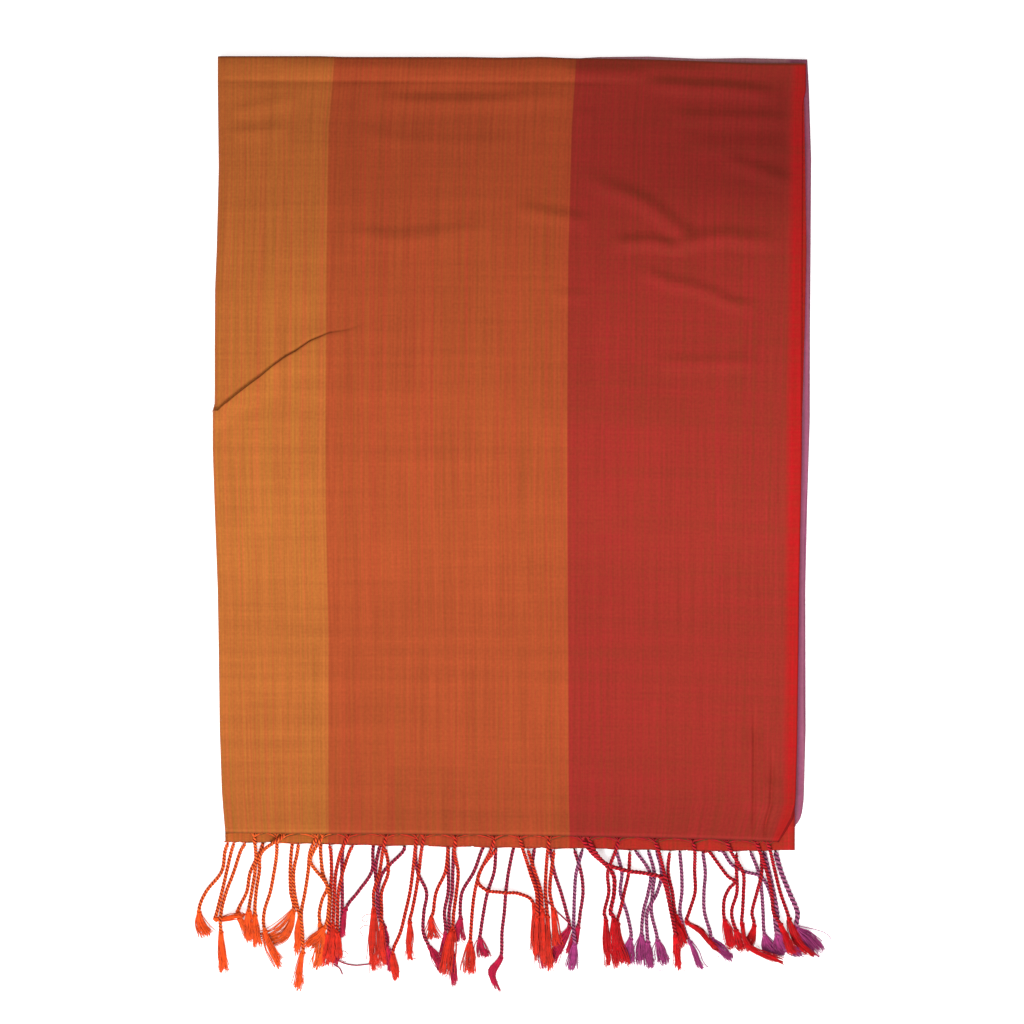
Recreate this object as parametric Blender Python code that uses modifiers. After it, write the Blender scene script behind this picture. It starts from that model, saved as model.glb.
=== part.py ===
"""A striped stole, folded crosswise into four and lengthwise in half, lying flat.

The packet lies on its back layer with the lengthwise fold at the left (-X), the crosswise folds
at the top (+Y), the selvedges at the right (+X) and both fringed ends at the bottom (-Y). Across
is measured from the lengthwise fold, down from the top fold, and depth from the line of the
front hem, all in millimetres. The meshes are made in metres, +Z up.
"""
import math
from collections import namedtuple

import bmesh
import bpy
import numpy as np

# Driving dimensions, in millimetres
MM = 0.001
FOLD_LEFT = -176.7          # x of the lengthwise fold
TOP_FOLD = 278.7            # y of the top fold
HEM_DOWN = 462.5            # from the top fold to the front hem, at the left
WALL = 1.1                  # one layer of cloth
CORE = 3.2                  # the five hidden layers together
SEAM = 0.3                  # gap between neighbouring pieces
STRIP = 2.5                 # depth of the strip that carries a fringe
CORD = 2.1                  # a twisted cord of the fringe
CORD_OVER_FLOOR = 0.4

# Heights of the layers, from the floor up
BACK_TOP = 1.2
CORE_BOTTOM = BACK_TOP + SEAM
CORE_TOP = CORE_BOTTOM + CORE
SECOND_BOTTOM = CORE_TOP + SEAM
SECOND_TOP = SECOND_BOTTOM + WALL
FRONT_BOTTOM = SECOND_TOP + SEAM
FRONT_TOP = FRONT_BOTTOM + WALL

# The front layer wraps the whole packet at the left and only the upper half at the top
LEFT_ROLL = 3.6
TOP_ROLL = 2.0
TOP_ROLL_END = math.radians(96)

Edge = namedtuple("Edge", "down left right")
FRONT_EDGES = [
    Edge(0, 3.0, 353.4), Edge(17, 3.0, 353.4), Edge(24, 3.1, 351.6), Edge(67, 3.6, 351.9),
    Edge(115, 2.4, 351.6), Edge(139, 1.4, 351.1), Edge(175, 1.2, 350.8), Edge(207, 1.2, 350.6),
    Edge(211, 0.0, 350.6), Edge(234, 0.0, 350.3), Edge(270, 1.2, 349.9), Edge(318, 3.0, 349.3),
    Edge(353, 3.6, 349.1), Edge(401, 4.2, 348.8), Edge(437, 5.4, 347.8), Edge(448, 6.2, 346.3),
    Edge(456, 6.9, 341.5), Edge(463, 7.5, 337.0)]
SECOND_EDGES = [
    Edge(0, 3.0, 350.5), Edge(100, 3.3, 350.2), Edge(211, 0.8, 350.0), Edge(318, 3.0, 348.9),
    Edge(401, 4.2, 348.0), Edge(448, 6.2, 346.3), Edge(480, 7.5, 346.3)]
PURPLE_EDGES = [
    Edge(0, 3.0, 352.6), Edge(19, 3.0, 354.3), Edge(60, 3.6, 355.2), Edge(115, 2.4, 355.2),
    Edge(160, 1.2, 354.6), Edge(216, 0.4, 354.9), Edge(264, 1.2, 353.4), Edge(318, 3.0, 351.9),
    Edge(401, 4.2, 352.0), Edge(443, 5.7, 351.0), Edge(453, 6.6, 349.6), Edge(458, 7.2, 347.0),
    Edge(475, 7.5, 341.5)]

# How far each line sags below a straight one, by its place across
Sag = namedtuple("Sag", "across down")
FRONT_TOP_LINE = [Sag(0, 0.2), Sag(150, 0.2), Sag(207, 0.8), Sag(266, 2.1), Sag(290, 3.0),
                  Sag(326, 3.9), Sag(355, 3.9)]
PURPLE_TOP_LINE = [Sag(0, 1.4), Sag(200, 1.4), Sag(230, 0.2), Sag(260, 0.2), Sag(290, 1.6),
                   Sag(317, 0.8), Sag(355, 1.6)]
FRONT_HEM_LINE = [Sag(0, 0.0), Sag(60, 0.6), Sag(120, 0.9), Sag(200, 1.8), Sag(260, 3.0),
                  Sag(300, 4.0), Sag(340, 5.5)]
SECOND_HEM_LINE = [Sag(0, 6.0), Sag(50, 7.0), Sag(100, 7.6), Sag(200, 9.0), Sag(250, 9.9),
                   Sag(300, 10.7), Sag(346, 10.4)]
BACK_HEM_LIFT = 1.0         # the back hem hides this far behind the second one
CORE_BOTTOM_LIFT = 5.0      # the hidden folds end this far above the front hem

# The tuck runs up from the left fold, sharp there and lost in the middle of the cloth
TUCK_LINE = [Sag(0, 211), Sag(46, 177.6), Sag(68, 164.5), Sag(88, 158), Sag(360, 156)]
TUCK_HEIGHT = 1.7
TUCK_REACH = 95.0           # across, where the tuck dies out
TUCK_SPREAD = 13.0          # down, over which its lower side levels off
TUCK_ROW = 184.0
TUCK_PULL = 80.0            # rows within this distance lean along the tuck

Crease = namedtuple("Crease", "across1 down1 across2 down2 half_width height")
CREASES = [
    Crease(10, 7, 235, 8, 7, 0.8),
    Crease(150, 27, 225, 25, 9, 0.7),
    Crease(215, 10, 250, 13, 7, 0.8),
    Crease(232, 20, 330, 27, 9, 1.0),
    Crease(226, 77, 272, 103, 10, 1.9),
    Crease(238, 116, 282, 118, 10, 1.2),
    Crease(268, 70, 345, 86, 12, 0.9),
    Crease(120, 200, 300, 214, 22, 0.5),
    Crease(322, 400, 322, 452, 7, 0.8),
    Crease(334, 428, 330, 455, 7, 0.7)]

# Rows of the front layer below its top roll, closer where the creases are
FRONT_ROWS = [6, 13, 21, 30, 40, 52, 66, 78, 90, 102, 114, 128, 146, 164, 177, 183, 185, 190, 199,
              212, 230, 252, 280, 310, 342, 374, 406, 432, 446, 454]
FRONT_COLUMNS = 22
COLUMN_EASE = 1.25          # columns stand closer towards the left fold


def read(table, key, column):
    """Value of a column of a table at a key, straight between its rows."""
    keys = [row[0] for row in table]
    values = [getattr(row, column) for row in table]
    return float(np.interp(key, keys, values))


def smooth(t):
    """0 to 1 with level ends."""
    t = min(max(t, 0.0), 1.0)
    return t * t * (3 - 2 * t)


def place(across, down, z):
    """A point of the packet in metres."""
    return ((FOLD_LEFT + across) * MM, (TOP_FOLD - down) * MM, z * MM)


def crease_height(across, down):
    """How far the soft creases lift the cloth."""
    height = 0.0
    for fold in CREASES:
        run = np.array([fold.across2 - fold.across1, fold.down2 - fold.down1], float)
        from_start = np.array([across - fold.across1, down - fold.down1], float)
        along = min(max(from_start.dot(run) / run.dot(run), 0.0), 1.0)
        distance = np.linalg.norm(from_start - along * run)
        ends = smooth(along / 0.3) * smooth((1 - along) / 0.3)
        height += fold.height * ends * smooth(1 - distance / (1.6 * fold.half_width))
    return height


def tuck_height(across, down):
    """The tuck: a step up just below its line, easing off down the cloth."""
    below = down - read(TUCK_LINE, across, "down")
    if below < 0:
        return 0.0
    fade = 1 - smooth(across / TUCK_REACH)
    return TUCK_HEIGHT * fade * (1 - smooth(below / TUCK_SPREAD))


def leaned(row, across):
    """A row's distance down, leaning along the tuck near it."""
    pull = max(0.0, 1 - abs(row - TUCK_ROW) / TUCK_PULL)
    return row + (read(TUCK_LINE, across, "down") - TUCK_ROW) * pull


def roll(angle, radius):
    """Inset and drop of a rolled edge at an angle round its fold."""
    return radius * (1 - math.sin(angle)), radius * (1 - math.cos(angle))


def corner_roll(angle, left_drop):
    """The top roll at an angle, opening out flat where the left roll turns down."""
    rolled, drop = roll(angle, TOP_ROLL)
    flat = TOP_ROLL * (1 - angle / TOP_ROLL_END)
    share = smooth(left_drop / LEFT_ROLL)
    return rolled + share * (flat - rolled), drop * (1 - share)


def material(name, colour, roughness):
    """The dyed cloth of one piece."""
    mat = bpy.data.materials.new(name)
    mat.use_nodes = True
    shader = mat.node_tree.nodes["Principled BSDF"]
    shader.inputs["Base Color"].default_value = (*colour, 1.0)
    shader.inputs["Roughness"].default_value = roughness
    shader.inputs["Metallic"].default_value = 0.0
    return mat


def add_object(name, bm, collection, mat):
    """A mesh object of its own, shaded smooth and facing outwards."""
    bmesh.ops.recalc_face_normals(bm, faces=bm.faces)
    mesh = bpy.data.meshes.new(name)
    bm.to_mesh(mesh)
    bm.free()
    mesh.materials.append(mat)
    mesh.shade_smooth()
    obj = bpy.data.objects.new(name, mesh)
    collection.objects.link(obj)
    return obj


def sheet(name, grid, collection, mat):
    """A layer of cloth: a grid of points on its upper face, made WALL thick downwards."""
    bm = bmesh.new()
    rows = [[bm.verts.new(point) for point in row] for row in grid]
    for upper, lower in zip(rows, rows[1:]):
        for i in range(len(upper) - 1):
            bm.faces.new((upper[i], lower[i], lower[i + 1], upper[i + 1]))
    mesh = bpy.data.meshes.new(name)
    bm.to_mesh(mesh)
    bm.free()
    mesh.materials.append(mat)
    mesh.shade_smooth()
    obj = bpy.data.objects.new(name, mesh)
    collection.objects.link(obj)
    wall = obj.modifiers.new("Wall", "SOLIDIFY")
    wall.thickness = WALL * MM
    wall.offset = -1.0
    wall.use_even_offset = False
    return obj


def build_front_layer(collection):
    """The end that shows: rolled over the packet at the left and at the top, with the creases."""
    columns = [(math.radians(angle), 0.0) for angle in (145, 118, 90, 60, 30)]
    columns += [(0.0, (i / FRONT_COLUMNS) ** COLUMN_EASE) for i in range(FRONT_COLUMNS + 1)]
    rows = [(TOP_ROLL_END * share, 0.0) for share in (1.0, 0.75, 0.5, 0.25)]
    rows += [(0.0, float(down)) for down in [TOP_ROLL] + FRONT_ROWS]
    rows.append((0.0, HEM_DOWN - STRIP - SEAM))
    grid = []
    for top_angle, row in rows:
        points = []
        for left_angle, fraction in columns:
            inset, left_drop = roll(left_angle, LEFT_ROLL)
            down, top_drop = (row, 0.0) if row else corner_roll(top_angle, left_drop)
            if row > TOP_ROLL:
                down = leaned(row, fraction * read(FRONT_EDGES, row, "right"))
            left = read(FRONT_EDGES, down, "left")
            right = read(FRONT_EDGES, down, "right")
            across = left + inset + fraction * (right - left - LEFT_ROLL)
            drop = left_drop + top_drop
            lift = crease_height(across, down) + tuck_height(across, down)
            share = down / HEM_DOWN
            sag = read(FRONT_TOP_LINE, across, "down") * (1 - share)
            sag += read(FRONT_HEM_LINE, across, "down") * share
            z = FRONT_TOP - drop + lift * max(0.0, 1 - drop / LEFT_ROLL)
            points.append(place(across, down + sag, z))
        grid.append(points)
    return sheet("front_layer", grid, collection, material("front_cloth", (0.42, 0.09, 0.03), 0.7))


SECOND_TOP_INSET = 3.2
SECOND_LEFT_INSET = 4.2     # clear of the front layer's roll
SECOND_BARE_INSET = 1.3     # below the front hem, where its own fold shows
SECOND_ROWS = 22
SECOND_COLUMNS = 14
SECOND_CREASE_SHARE = 0.4   # it follows the creases of the layer above this far


def second_row(fraction, k):
    """Place down of a row of the second layer: even under the front, then the bare band."""
    across = fraction * read(SECOND_EDGES, HEM_DOWN * min(k / SECOND_ROWS, 1), "right")
    top = SECOND_TOP_INSET + read(FRONT_TOP_LINE, across, "down")
    covered = HEM_DOWN + read(FRONT_HEM_LINE, across, "down") + SEAM
    end = HEM_DOWN + read(SECOND_HEM_LINE, across, "down") - STRIP - SEAM
    if k <= SECOND_ROWS:
        return top + (covered - top) * k / SECOND_ROWS
    return covered + SEAM if k == SECOND_ROWS + 1 else end


def build_second_layer(collection):
    """The other end of the stole: all hidden but the band below the front hem."""
    grid = []
    for k in range(SECOND_ROWS + 3):
        points = []
        for i in range(SECOND_COLUMNS + 1):
            fraction = i / SECOND_COLUMNS
            down = second_row(fraction, k)
            inset = SECOND_LEFT_INSET if k <= SECOND_ROWS else SECOND_BARE_INSET
            left = read(SECOND_EDGES, down, "left") + inset
            across = left + fraction * (read(SECOND_EDGES, down, "right") - left)
            lift = SECOND_CREASE_SHARE * crease_height(across, down)
            points.append(place(across, down, SECOND_TOP + lift))
        grid.append(points)
    return sheet("second_layer", grid, collection, material("second_cloth", (0.36, 0.1, 0.03), 0.7))


EDGE_STEPS = 9              # points along the top and the bottom of an outline
SIDE_STEPS = 12             # points along each side


def outline(edges, top_line, bottom_line, left_inset, inset):
    """Points round a folded slab, across and down, drawn in by the inset."""
    def corner_down(side, share):
        across = read(edges, HEM_DOWN * share, side)
        top = read(top_line, across, "down")
        bottom = bottom_line(across)
        return top + inset + share * (bottom - top - 2 * inset)

    points = []
    for i in range(EDGE_STEPS):
        across = left_inset + 3 + inset + i / EDGE_STEPS * (edges[0].right - left_inset - 3 - 2 * inset)
        points.append((across, read(top_line, across, "down") + inset))
    for k in range(SIDE_STEPS):
        down = corner_down("right", k / SIDE_STEPS)
        points.append((read(edges, down, "right") - inset, down))
    low = corner_down("right", 1.0)
    low_right = read(edges, low, "right") - inset
    low_left = read(edges, low, "left") + left_inset + inset
    for i in range(EDGE_STEPS):
        across = low_right + i / EDGE_STEPS * (low_left - low_right)
        points.append((across, bottom_line(across) - inset))
    for k in range(SIDE_STEPS):
        down = corner_down("left", 1 - k / SIDE_STEPS)
        points.append((read(edges, down, "left") + left_inset + inset, down))
    return points


def slab(name, rings, collection, mat):
    """A closed solid through level rings, each a height and its points."""
    bm = bmesh.new()
    loops = [[bm.verts.new(place(across, down, z)) for across, down in points] for z, points in rings]
    for lower, upper in zip(loops, loops[1:]):
        count = len(lower)
        for i in range(count):
            j = (i + 1) % count
            bm.faces.new((lower[i], lower[j], upper[j], upper[i]))
    bm.faces.new(loops[0])
    bm.faces.new(loops[-1])
    return add_object(name, bm, collection, mat)


LEFT_CLEARANCE = 3.3        # the slabs stay clear of the front layer's roll
BEAD = 0.5                  # rounding of a slab's edge
GROOVE = 1.3                # depth of the groove between two folds


def build_folded_core(collection):
    """The five hidden layers as one solid, its folds standing out as beads at the edges."""
    def hidden_end(across):
        return HEM_DOWN - CORE_BOTTOM_LIFT

    def purple(inset):
        return outline(PURPLE_EDGES, PURPLE_TOP_LINE, hidden_end, LEFT_CLEARANCE, inset)

    def red(inset):
        return outline(SECOND_EDGES, FRONT_TOP_LINE, hidden_end, LEFT_CLEARANCE, inset + 0.3)

    middle = CORE_BOTTOM + CORE / 2
    rings = [
        (CORE_BOTTOM, purple(BEAD)), (CORE_BOTTOM + BEAD / 2, purple(0)),
        (middle - BEAD, purple(0)), (middle, red(GROOVE)), (middle + BEAD, red(0)),
        (CORE_TOP - BEAD, red(0)), (CORE_TOP, red(BEAD))]
    return slab("folded_core", rings, collection, material("core_cloth", (0.3, 0.08, 0.2), 0.7))


def build_back_layer(collection):
    """The purple half's own end, flat on the floor under the packet."""
    def end(across):
        return HEM_DOWN + read(SECOND_HEM_LINE, across, "down") - BACK_HEM_LIFT - STRIP - SEAM

    rings = [(z, outline(PURPLE_EDGES, PURPLE_TOP_LINE, end, LEFT_CLEARANCE, inset + 0.4))
             for z, inset in ((0.0, 0.3), (0.3, 0.0), (BACK_TOP - 0.3, 0.0), (BACK_TOP, 0.3))]
    return slab("back_layer", rings, collection, material("back_cloth", (0.28, 0.07, 0.23), 0.7))


# Strands. path holds the place across of a cord every 12 mm below the line of the front hem, the
# first at its root. knot, via and end hold a place across and a depth: the knot, a bend of the
# tassel where it has one, and the tassel's tip. spread is the tassel's width at the tip.
STATION = 12.0
Strand = namedtuple("Strand", "path knot via end spread")

FRONT_STRANDS = [
    Strand((24.4, 25.3, 24.6, 22.6), (21.0, 47), None, (21.5, 64), 5),
    Strand((38.1, 37.8, 36.0, 33.7, 30.1), (30.7, 59), None, (39.9, 80), 5.5),
    Strand((42.0, 28.8, 27.2, 25.3), (24.6, 50), None, (26.8, 68), 5),
    Strand((62.0, 57.6, 56.3, 54.5, 52.4, 53.0), (53.3, 72), None, (50.7, 94), 6),
    Strand((65.4, 60.8, 64.0, 67.4, 66.6), (66.0, 55), None, (60.2, 84), 6),
    Strand((80.5, 76.0, 73.0, 72.1, 71.6), (71.2, 56), None, (70.3, 79), 5),
    Strand((103.0, 101.0, 99.0, 95.6), (95.6, 46), None, (95.4, 83), 7),
    Strand((121.4, 120.2, 118.8, 117.2, 114.5, 111.5), (106.7, 73), None, (109.0, 88), 3.5),
    Strand((125.5, 124.0, 122.5, 120.7, 118.3), (117.0, 54), None, (116.5, 76), 5),
    Strand((144.6, 144.0, 146.0, 145.0, 143.4), (142.6, 58), None, (139.0, 85), 6),
    Strand((167.9, 165.0, 159.0, 155.9, 154.4, 153.6), (153.2, 66), None, (152.0, 85), 7),
    Strand((182.7, 185.4, 189.0, 192.8), (193.2, 50), None, (193.4, 77), 4.5),
    Strand((200.3, 199.4, 198.5, 198.2), (199.4, 51), None, (201.0, 83), 5),
    Strand((220.2, 226.2, 238.0, 239.2, 237.0), (239.0, 52), None, (241.0, 80), 5),
    Strand((224.0, 231.0, 249.0, 264.5, 268.0), (272.0, 56), None, (280.0, 68), 5),
    Strand((241.7, 239.6, 235.4, 236.0, 233.3), (234.2, 53), None, (235.6, 80), 5),
    Strand((263.2, 266.1, 269.1, 271.6, 273.3), (275.6, 62), None, (277.6, 83), 4.5),
    Strand((286.0, 287.3, 287.3, 287.6, 284.0), (282.8, 54), (291.0, 60), (301.0, 71), 4),
    Strand((306.3, 309.3, 316.2, 316.5, 315.9), (315.6, 55), (319.0, 69), (340.9, 78), 4),
    Strand((324.0, 326.3, 330.5, 333.2, 334.4), (338.5, 55), None, (346.9, 73), 5),
    Strand((330.7, 332.6, 335.5, 338.5, 342.7), (343.9, 52), (348.7, 64), (358.2, 74), 5)]
SECOND_STRANDS = [
    Strand((8.6, 6.6, 4.5, -4.8), (-8.9, 48), None, (-6.4, 62), 9),
    Strand((12.2, 10.4, 7.6, 4.8, 1.8), (1.2, 52), (8.0, 52), (19.4, 48.5), 4.5),
    Strand((18.9, 15.8, 11.9, 7.4, 4.4), (4.2, 60), None, (6.0, 83), 4.5),
    Strand((50.7, 50.0, 47.7, 48.2, 50.7), (51.3, 51), None, (50.7, 73), 5),
    Strand((69.4, 70.0, 70.3, 69.8, 69.2), (68.6, 61), None, (67.0, 80), 4.5),
    Strand((83.1, 81.0, 77.1, 74.5, 74.0), (73.8, 60), None, (74.6, 75), 5),
    Strand((101.0, 103.0, 104.3, 100.3, 100.3), (100.2, 56), None, (100.4, 81), 5),
    Strand((140.0, 139.8, 138.3, 132.9, 131.1), (129.9, 52), None, (131.7, 64), 8),
    Strand((169.0, 164.5, 158.5, 172.0), (189.4, 43), None, (190.0, 70), 4),
    Strand((187.7, 188.3, 192.0, 195.6), (196.2, 46), None, (197.4, 79), 4.5),
    Strand((203.4, 203.0, 201.6, 200.8), (202.6, 46), None, (205.0, 68), 4.5),
    Strand((248.5, 248.8, 248.0, 245.3, 242.6), (241.4, 55), None, (246.0, 79), 5),
    Strand((272.4, 271.5, 271.5, 274.0), (276.0, 50), None, (281.0, 64), 5),
    Strand((293.0, 295.3, 304.8, 307.4, 305.2), (305.5, 53), None, (309.3, 69), 5),
    Strand((312.3, 312.0, 312.3, 312.6, 310.4), (312.4, 60), None, (318.0, 71), 5),
    Strand((327.2, 327.8, 327.2, 324.6, 321.6), (322.4, 55), None, (316.5, 67), 4.5)]
BACK_STRANDS = [
    Strand((29.4, 27.6, 21.8, 19.6), (14.3, 48), (17.5, 57), (24.0, 66), 5),
    Strand((47.0, 46.3, 45.6, 46.0), (47.6, 46), (39.9, 58), (29.8, 63), 7),
    Strand((64.0, 63.8, 64.6, 65.0), (63.0, 52), None, (54.8, 69), 5),
    Strand((77.5, 76.9, 76.5, 76.8, 76.6, 75.8), (74.4, 68), None, (73.2, 79), 3.5),
    Strand((95.4, 95.0, 94.2, 86.0), (78.8, 46), None, (77.2, 62), 4),
    Strand((99.7, 98.3, 96.6, 97.9, 98.8), (102.0, 57), None, (104.4, 70), 4),
    Strand((113.8, 112.8, 101.3, 98.0, 98.4, 101.6), (103.0, 68), None, (105.6, 83), 3.5),
    Strand((121.2, 120.4, 121.9, 127.1, 125.5, 125.2), (129.0, 69), None, (135.3, 83), 7),
    Strand((140.0, 140.0, 140.2, 140.0, 137.8), (138.4, 61), None, (134.7, 83), 6),
    Strand((143.6, 143.2, 142.8, 142.4, 140.6, 140.8), (141.4, 67), None, (144.2, 91), 5),
    Strand((161.3, 159.7, 155.3, 148.4, 147.2), (147.4, 52), None, (146.4, 66), 7),
    Strand((168.5, 168.4, 167.5, 163.6, 161.2, 159.4), (159.1, 64), None, (160.9, 75), 7),
    Strand((179.4, 178.5, 176.1, 174.5, 173.6, 172.2), (171.5, 75), (166.0, 84), (169.3, 94), 4),
    Strand((191.7, 191.3, 190.2, 194.2), (194.8, 48), None, (197.3, 80), 6),
    Strand((201.4, 201.4, 203.5, 207.4, 210.7), (212.4, 57), (207.4, 66), (201.4, 79), 6),
    Strand((215.2, 216.0, 219.4, 220.6, 219.0), (217.6, 57), None, (212.0, 74), 5),
    Strand((220.5, 219.6, 216.6, 215.6, 215.2, 215.0), (215.4, 67), None, (213.0, 83), 7),
    Strand((240.2, 240.5, 243.8, 242.9, 246.7, 249.3), (249.1, 64), None, (249.1, 79), 7),
    Strand((251.3, 252.7, 260.6, 259.6, 256.6, 255.6), (255.6, 62), None, (255.6, 79), 6),
    Strand((259.3, 261.6, 263.2, 262.2, 261.5, 264.3), (265.2, 65), None, (268.2, 79), 6),
    Strand((264.2, 265.4, 267.6, 265.0, 259.0), (259.4, 66), None, (261.4, 81), 5),
    Strand((278.3, 278.5, 279.5, 279.7, 278.6, 281.9), (284.6, 66), None, (291.4, 82), 5),
    Strand((292.0, 292.2, 293.7, 292.9, 293.2, 296.8), (297.6, 64), None, (310.5, 76), 5),
    Strand((301.0, 301.4, 311.5, 323.8, 325.2), (325.6, 57), None, (329.0, 72), 5),
    Strand((320.4, 321.2, 325.6, 327.4, 328.2, 328.8), (329.6, 63), None, (334.0, 74), 5),
    Strand((328.4, 329.0, 331.7, 334.4, 336.5, 337.3), (337.3, 62), None, (346.9, 72), 6),
    Strand((335.5, 335.9, 339.1, 343.9, 348.8), (348.1, 56), None, (361.5, 69), 9)]

KNOT_WIDTH = 3.8
KNOT_HEIGHT = 2.6
NECK = 2.6                  # from the knot to the cord and to the tassel
TASSEL_NECK = 2.4
TASSEL_HEIGHT = 1.7
TIP_HEIGHT = 1.1
SAMPLE = 1.5                # spacing of the points that a strand is laid by
SECTION_SPACING = 8.0
LAY_GAP = 0.25              # kept between two strands that cross
SLOPE = 0.6                 # the steepest a limp cord falls


def smooth_route(points):
    """A smooth curve through route points, sampled closely."""
    ends = [2 * points[0] - points[1]] + points + [2 * points[-1] - points[-2]]
    samples = []
    for before, start, end, after in zip(ends, ends[1:], ends[2:], ends[3:]):
        steps = max(2, int(round(np.linalg.norm(end - start) / SAMPLE)))
        for i in range(steps):
            t = i / steps
            samples.append(0.5 * (2 * start + (end - before) * t
                                  + (2 * before - 5 * start + 4 * end - after) * t ** 2
                                  + (3 * start - before - 3 * end + after) * t ** 3))
    samples.append(points[-1])
    return samples


def strand_plan(strand, hem_line, lift):
    """Sampled route of a strand in plan, with the run to its knot and the half sizes along it."""
    root = strand.path[0]
    root_depth = read(hem_line, root, "down") - lift
    cord = [np.array([root, root_depth]), np.array([root, root_depth + NECK])]
    for k, across in enumerate(strand.path[1:], 1):
        if root_depth + 2 * NECK < k * STATION < strand.knot[1] - NECK:
            cord.append(np.array([across, k * STATION]))
    cord.append(np.array(strand.knot, float))
    tassel = [np.array(point, float) for point in (strand.via, strand.end) if point]
    route = smooth_route(cord + tassel)
    gaps = [np.linalg.norm(b - a) for a, b in zip(route, route[1:])]
    runs = np.concatenate([[0.0], np.cumsum(gaps)])
    distances = [np.linalg.norm(point - cord[-1]) for point in route]
    knot_run = runs[int(np.argmin(distances))]
    return np.array(route), runs, knot_run


def half_sizes(run, knot_run, length, spread):
    """Half the width and height of a strand, some way along it."""
    from_knot = run - knot_run
    if from_knot <= -NECK:
        return CORD / 2, CORD / 2
    if from_knot < NECK:
        share = smooth(1 - abs(from_knot) / NECK)
        return (CORD + share * (KNOT_WIDTH - CORD)) / 2, (CORD + share * (KNOT_HEIGHT - CORD)) / 2
    share = (from_knot - NECK) / (length - knot_run - NECK)
    width = TASSEL_NECK + math.sin(min(1.0, share) * math.pi / 2) * (spread - TASSEL_NECK)
    return width / 2, (TASSEL_HEIGHT + share * (TIP_HEIGHT - TASSEL_HEIGHT)) / 2


def lay_strand(strand, hem_line, lift, root, ledge, laid):
    """Sections of one strand, resting on the floor, the ledge of cloth and the strands below.

    root holds the height of the strand's middle at the strip, and half its height there.
    """
    route, runs, knot_run = strand_plan(strand, hem_line, lift)
    cord_steps = max(2, int(round((knot_run - NECK) / SECTION_SPACING)))
    stops = [0.0, NECK / 2] + [knot_run * i / cord_steps for i in range(1, cord_steps)]
    stops += [knot_run - NECK, knot_run, knot_run + NECK]
    stops += [(knot_run + NECK + runs[-1]) / 2, runs[-1]]
    picks = sorted({int(np.argmin(np.abs(runs - stop))) for stop in stops})
    sizes = [half_sizes(runs[pick], knot_run, runs[-1], strand.spread) for pick in picks]
    sizes[0] = (CORD / 2, root[1])

    # Points between the sections, as the solid runs straight from one to the next
    spots = []
    for n in range(len(picks) - 1):
        steps = max(2, int((runs[picks[n + 1]] - runs[picks[n]]) / SAMPLE) + 1)
        spots += [n + i / steps for i in range(steps)]
    spots = np.array(spots + [len(picks) - 1.0])
    numbers = np.arange(len(picks))
    across = np.interp(spots, numbers, route[picks, 0])
    depth = np.interp(spots, numbers, route[picks, 1])
    run = np.interp(spots, numbers, runs[picks])
    half_width = np.interp(spots, numbers, [size[0] for size in sizes])
    half_height = np.interp(spots, numbers, [size[1] for size in sizes])

    needed = CORD_OVER_FLOOR + half_height
    for i, place_across in enumerate(across):
        if ledge and depth[i] < read(SECOND_HEM_LINE, place_across, "down") + CORD / 2:
            needed[i] = ledge + LAY_GAP + half_height[i]
    if laid:
        under = np.array(laid)
        apart = np.hypot(across[:, None] - under[None, :, 0], depth[:, None] - under[None, :, 1])
        meets = apart < half_width[:, None] + under[None, :, 2] + LAY_GAP
        tops = np.where(meets, under[None, :, 3], 0.0).max(axis=1)
        needed = np.maximum(needed, np.where(tops > 0, tops + LAY_GAP + half_height, 0.0))
    needed[0] = root[0]
    falls = np.abs(run[:, None] - run[None, :]) * SLOPE
    needed = np.maximum(needed, (needed[None, :] - falls).max(axis=1))

    heights = [root[0]]
    for n in range(1, len(picks)):
        near = (np.abs(spots - n) < 1) & (spots > 0)
        heights.append(needed[near].max())
    tops = np.interp(spots, numbers, heights) + half_height
    laid.extend(zip(across, depth, half_width, tops))

    sections = []
    for pick, height, (half, rise) in list(zip(picks, heights, sizes))[1:]:
        ahead = route[min(pick + 1, len(route) - 1)] - route[max(pick - 1, 0)]
        ahead /= np.linalg.norm(ahead)
        side = np.array([ahead[1], -ahead[0]]) * half
        left, right = route[pick] - side, route[pick] + side
        sections.append([(*left, height - rise), (*right, height - rise),
                         (*right, height + rise), (*left, height + rise)])
    return sections


def build_fringe(name, strands, hem_line, lift, low, high, ends, ledge, laid, collection, mat):
    """A strip along a hem with the strands of its fringe growing out of its lower edge."""
    ordered = sorted(strands, key=lambda strand: strand.path[0])
    stations = [ends[0]]
    for strand in ordered:
        stations += [strand.path[0] - CORD / 2, strand.path[0] + CORD / 2]
    stations.append(ends[1])
    bm = bmesh.new()
    corners = []
    for across in stations:
        hem = HEM_DOWN + read(hem_line, across, "down") - lift
        corners.append([bm.verts.new(place(across, hem, low)),
                        bm.verts.new(place(across, hem, high)),
                        bm.verts.new(place(across, hem - STRIP, high)),
                        bm.verts.new(place(across, hem - STRIP, low))])
    for n, (here, there) in enumerate(zip(corners, corners[1:])):
        for i, j in ((1, 2), (2, 3), (3, 0)):
            bm.faces.new((here[i], here[j], there[j], there[i]))
        if n % 2 == 0:
            bm.faces.new((here[0], here[1], there[1], there[0]))
    bm.faces.new(corners[0])
    bm.faces.new(corners[-1])
    for n, strand in enumerate(ordered):
        here, there = corners[2 * n + 1], corners[2 * n + 2]
        ring = [here[0], there[0], there[1], here[1]]
        root = ((low + high) / 2, (high - low) / 2)
        for section in lay_strand(strand, hem_line, lift, root, ledge, laid):
            verts = [bm.verts.new(place(across, HEM_DOWN + depth, z)) for across, depth, z in section]
            for i in range(4):
                j = (i + 1) % 4
                bm.faces.new((ring[i], ring[j], verts[j], verts[i]))
            ring = verts
        bm.faces.new(ring)
    return add_object(name, bm, collection, mat)


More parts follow.
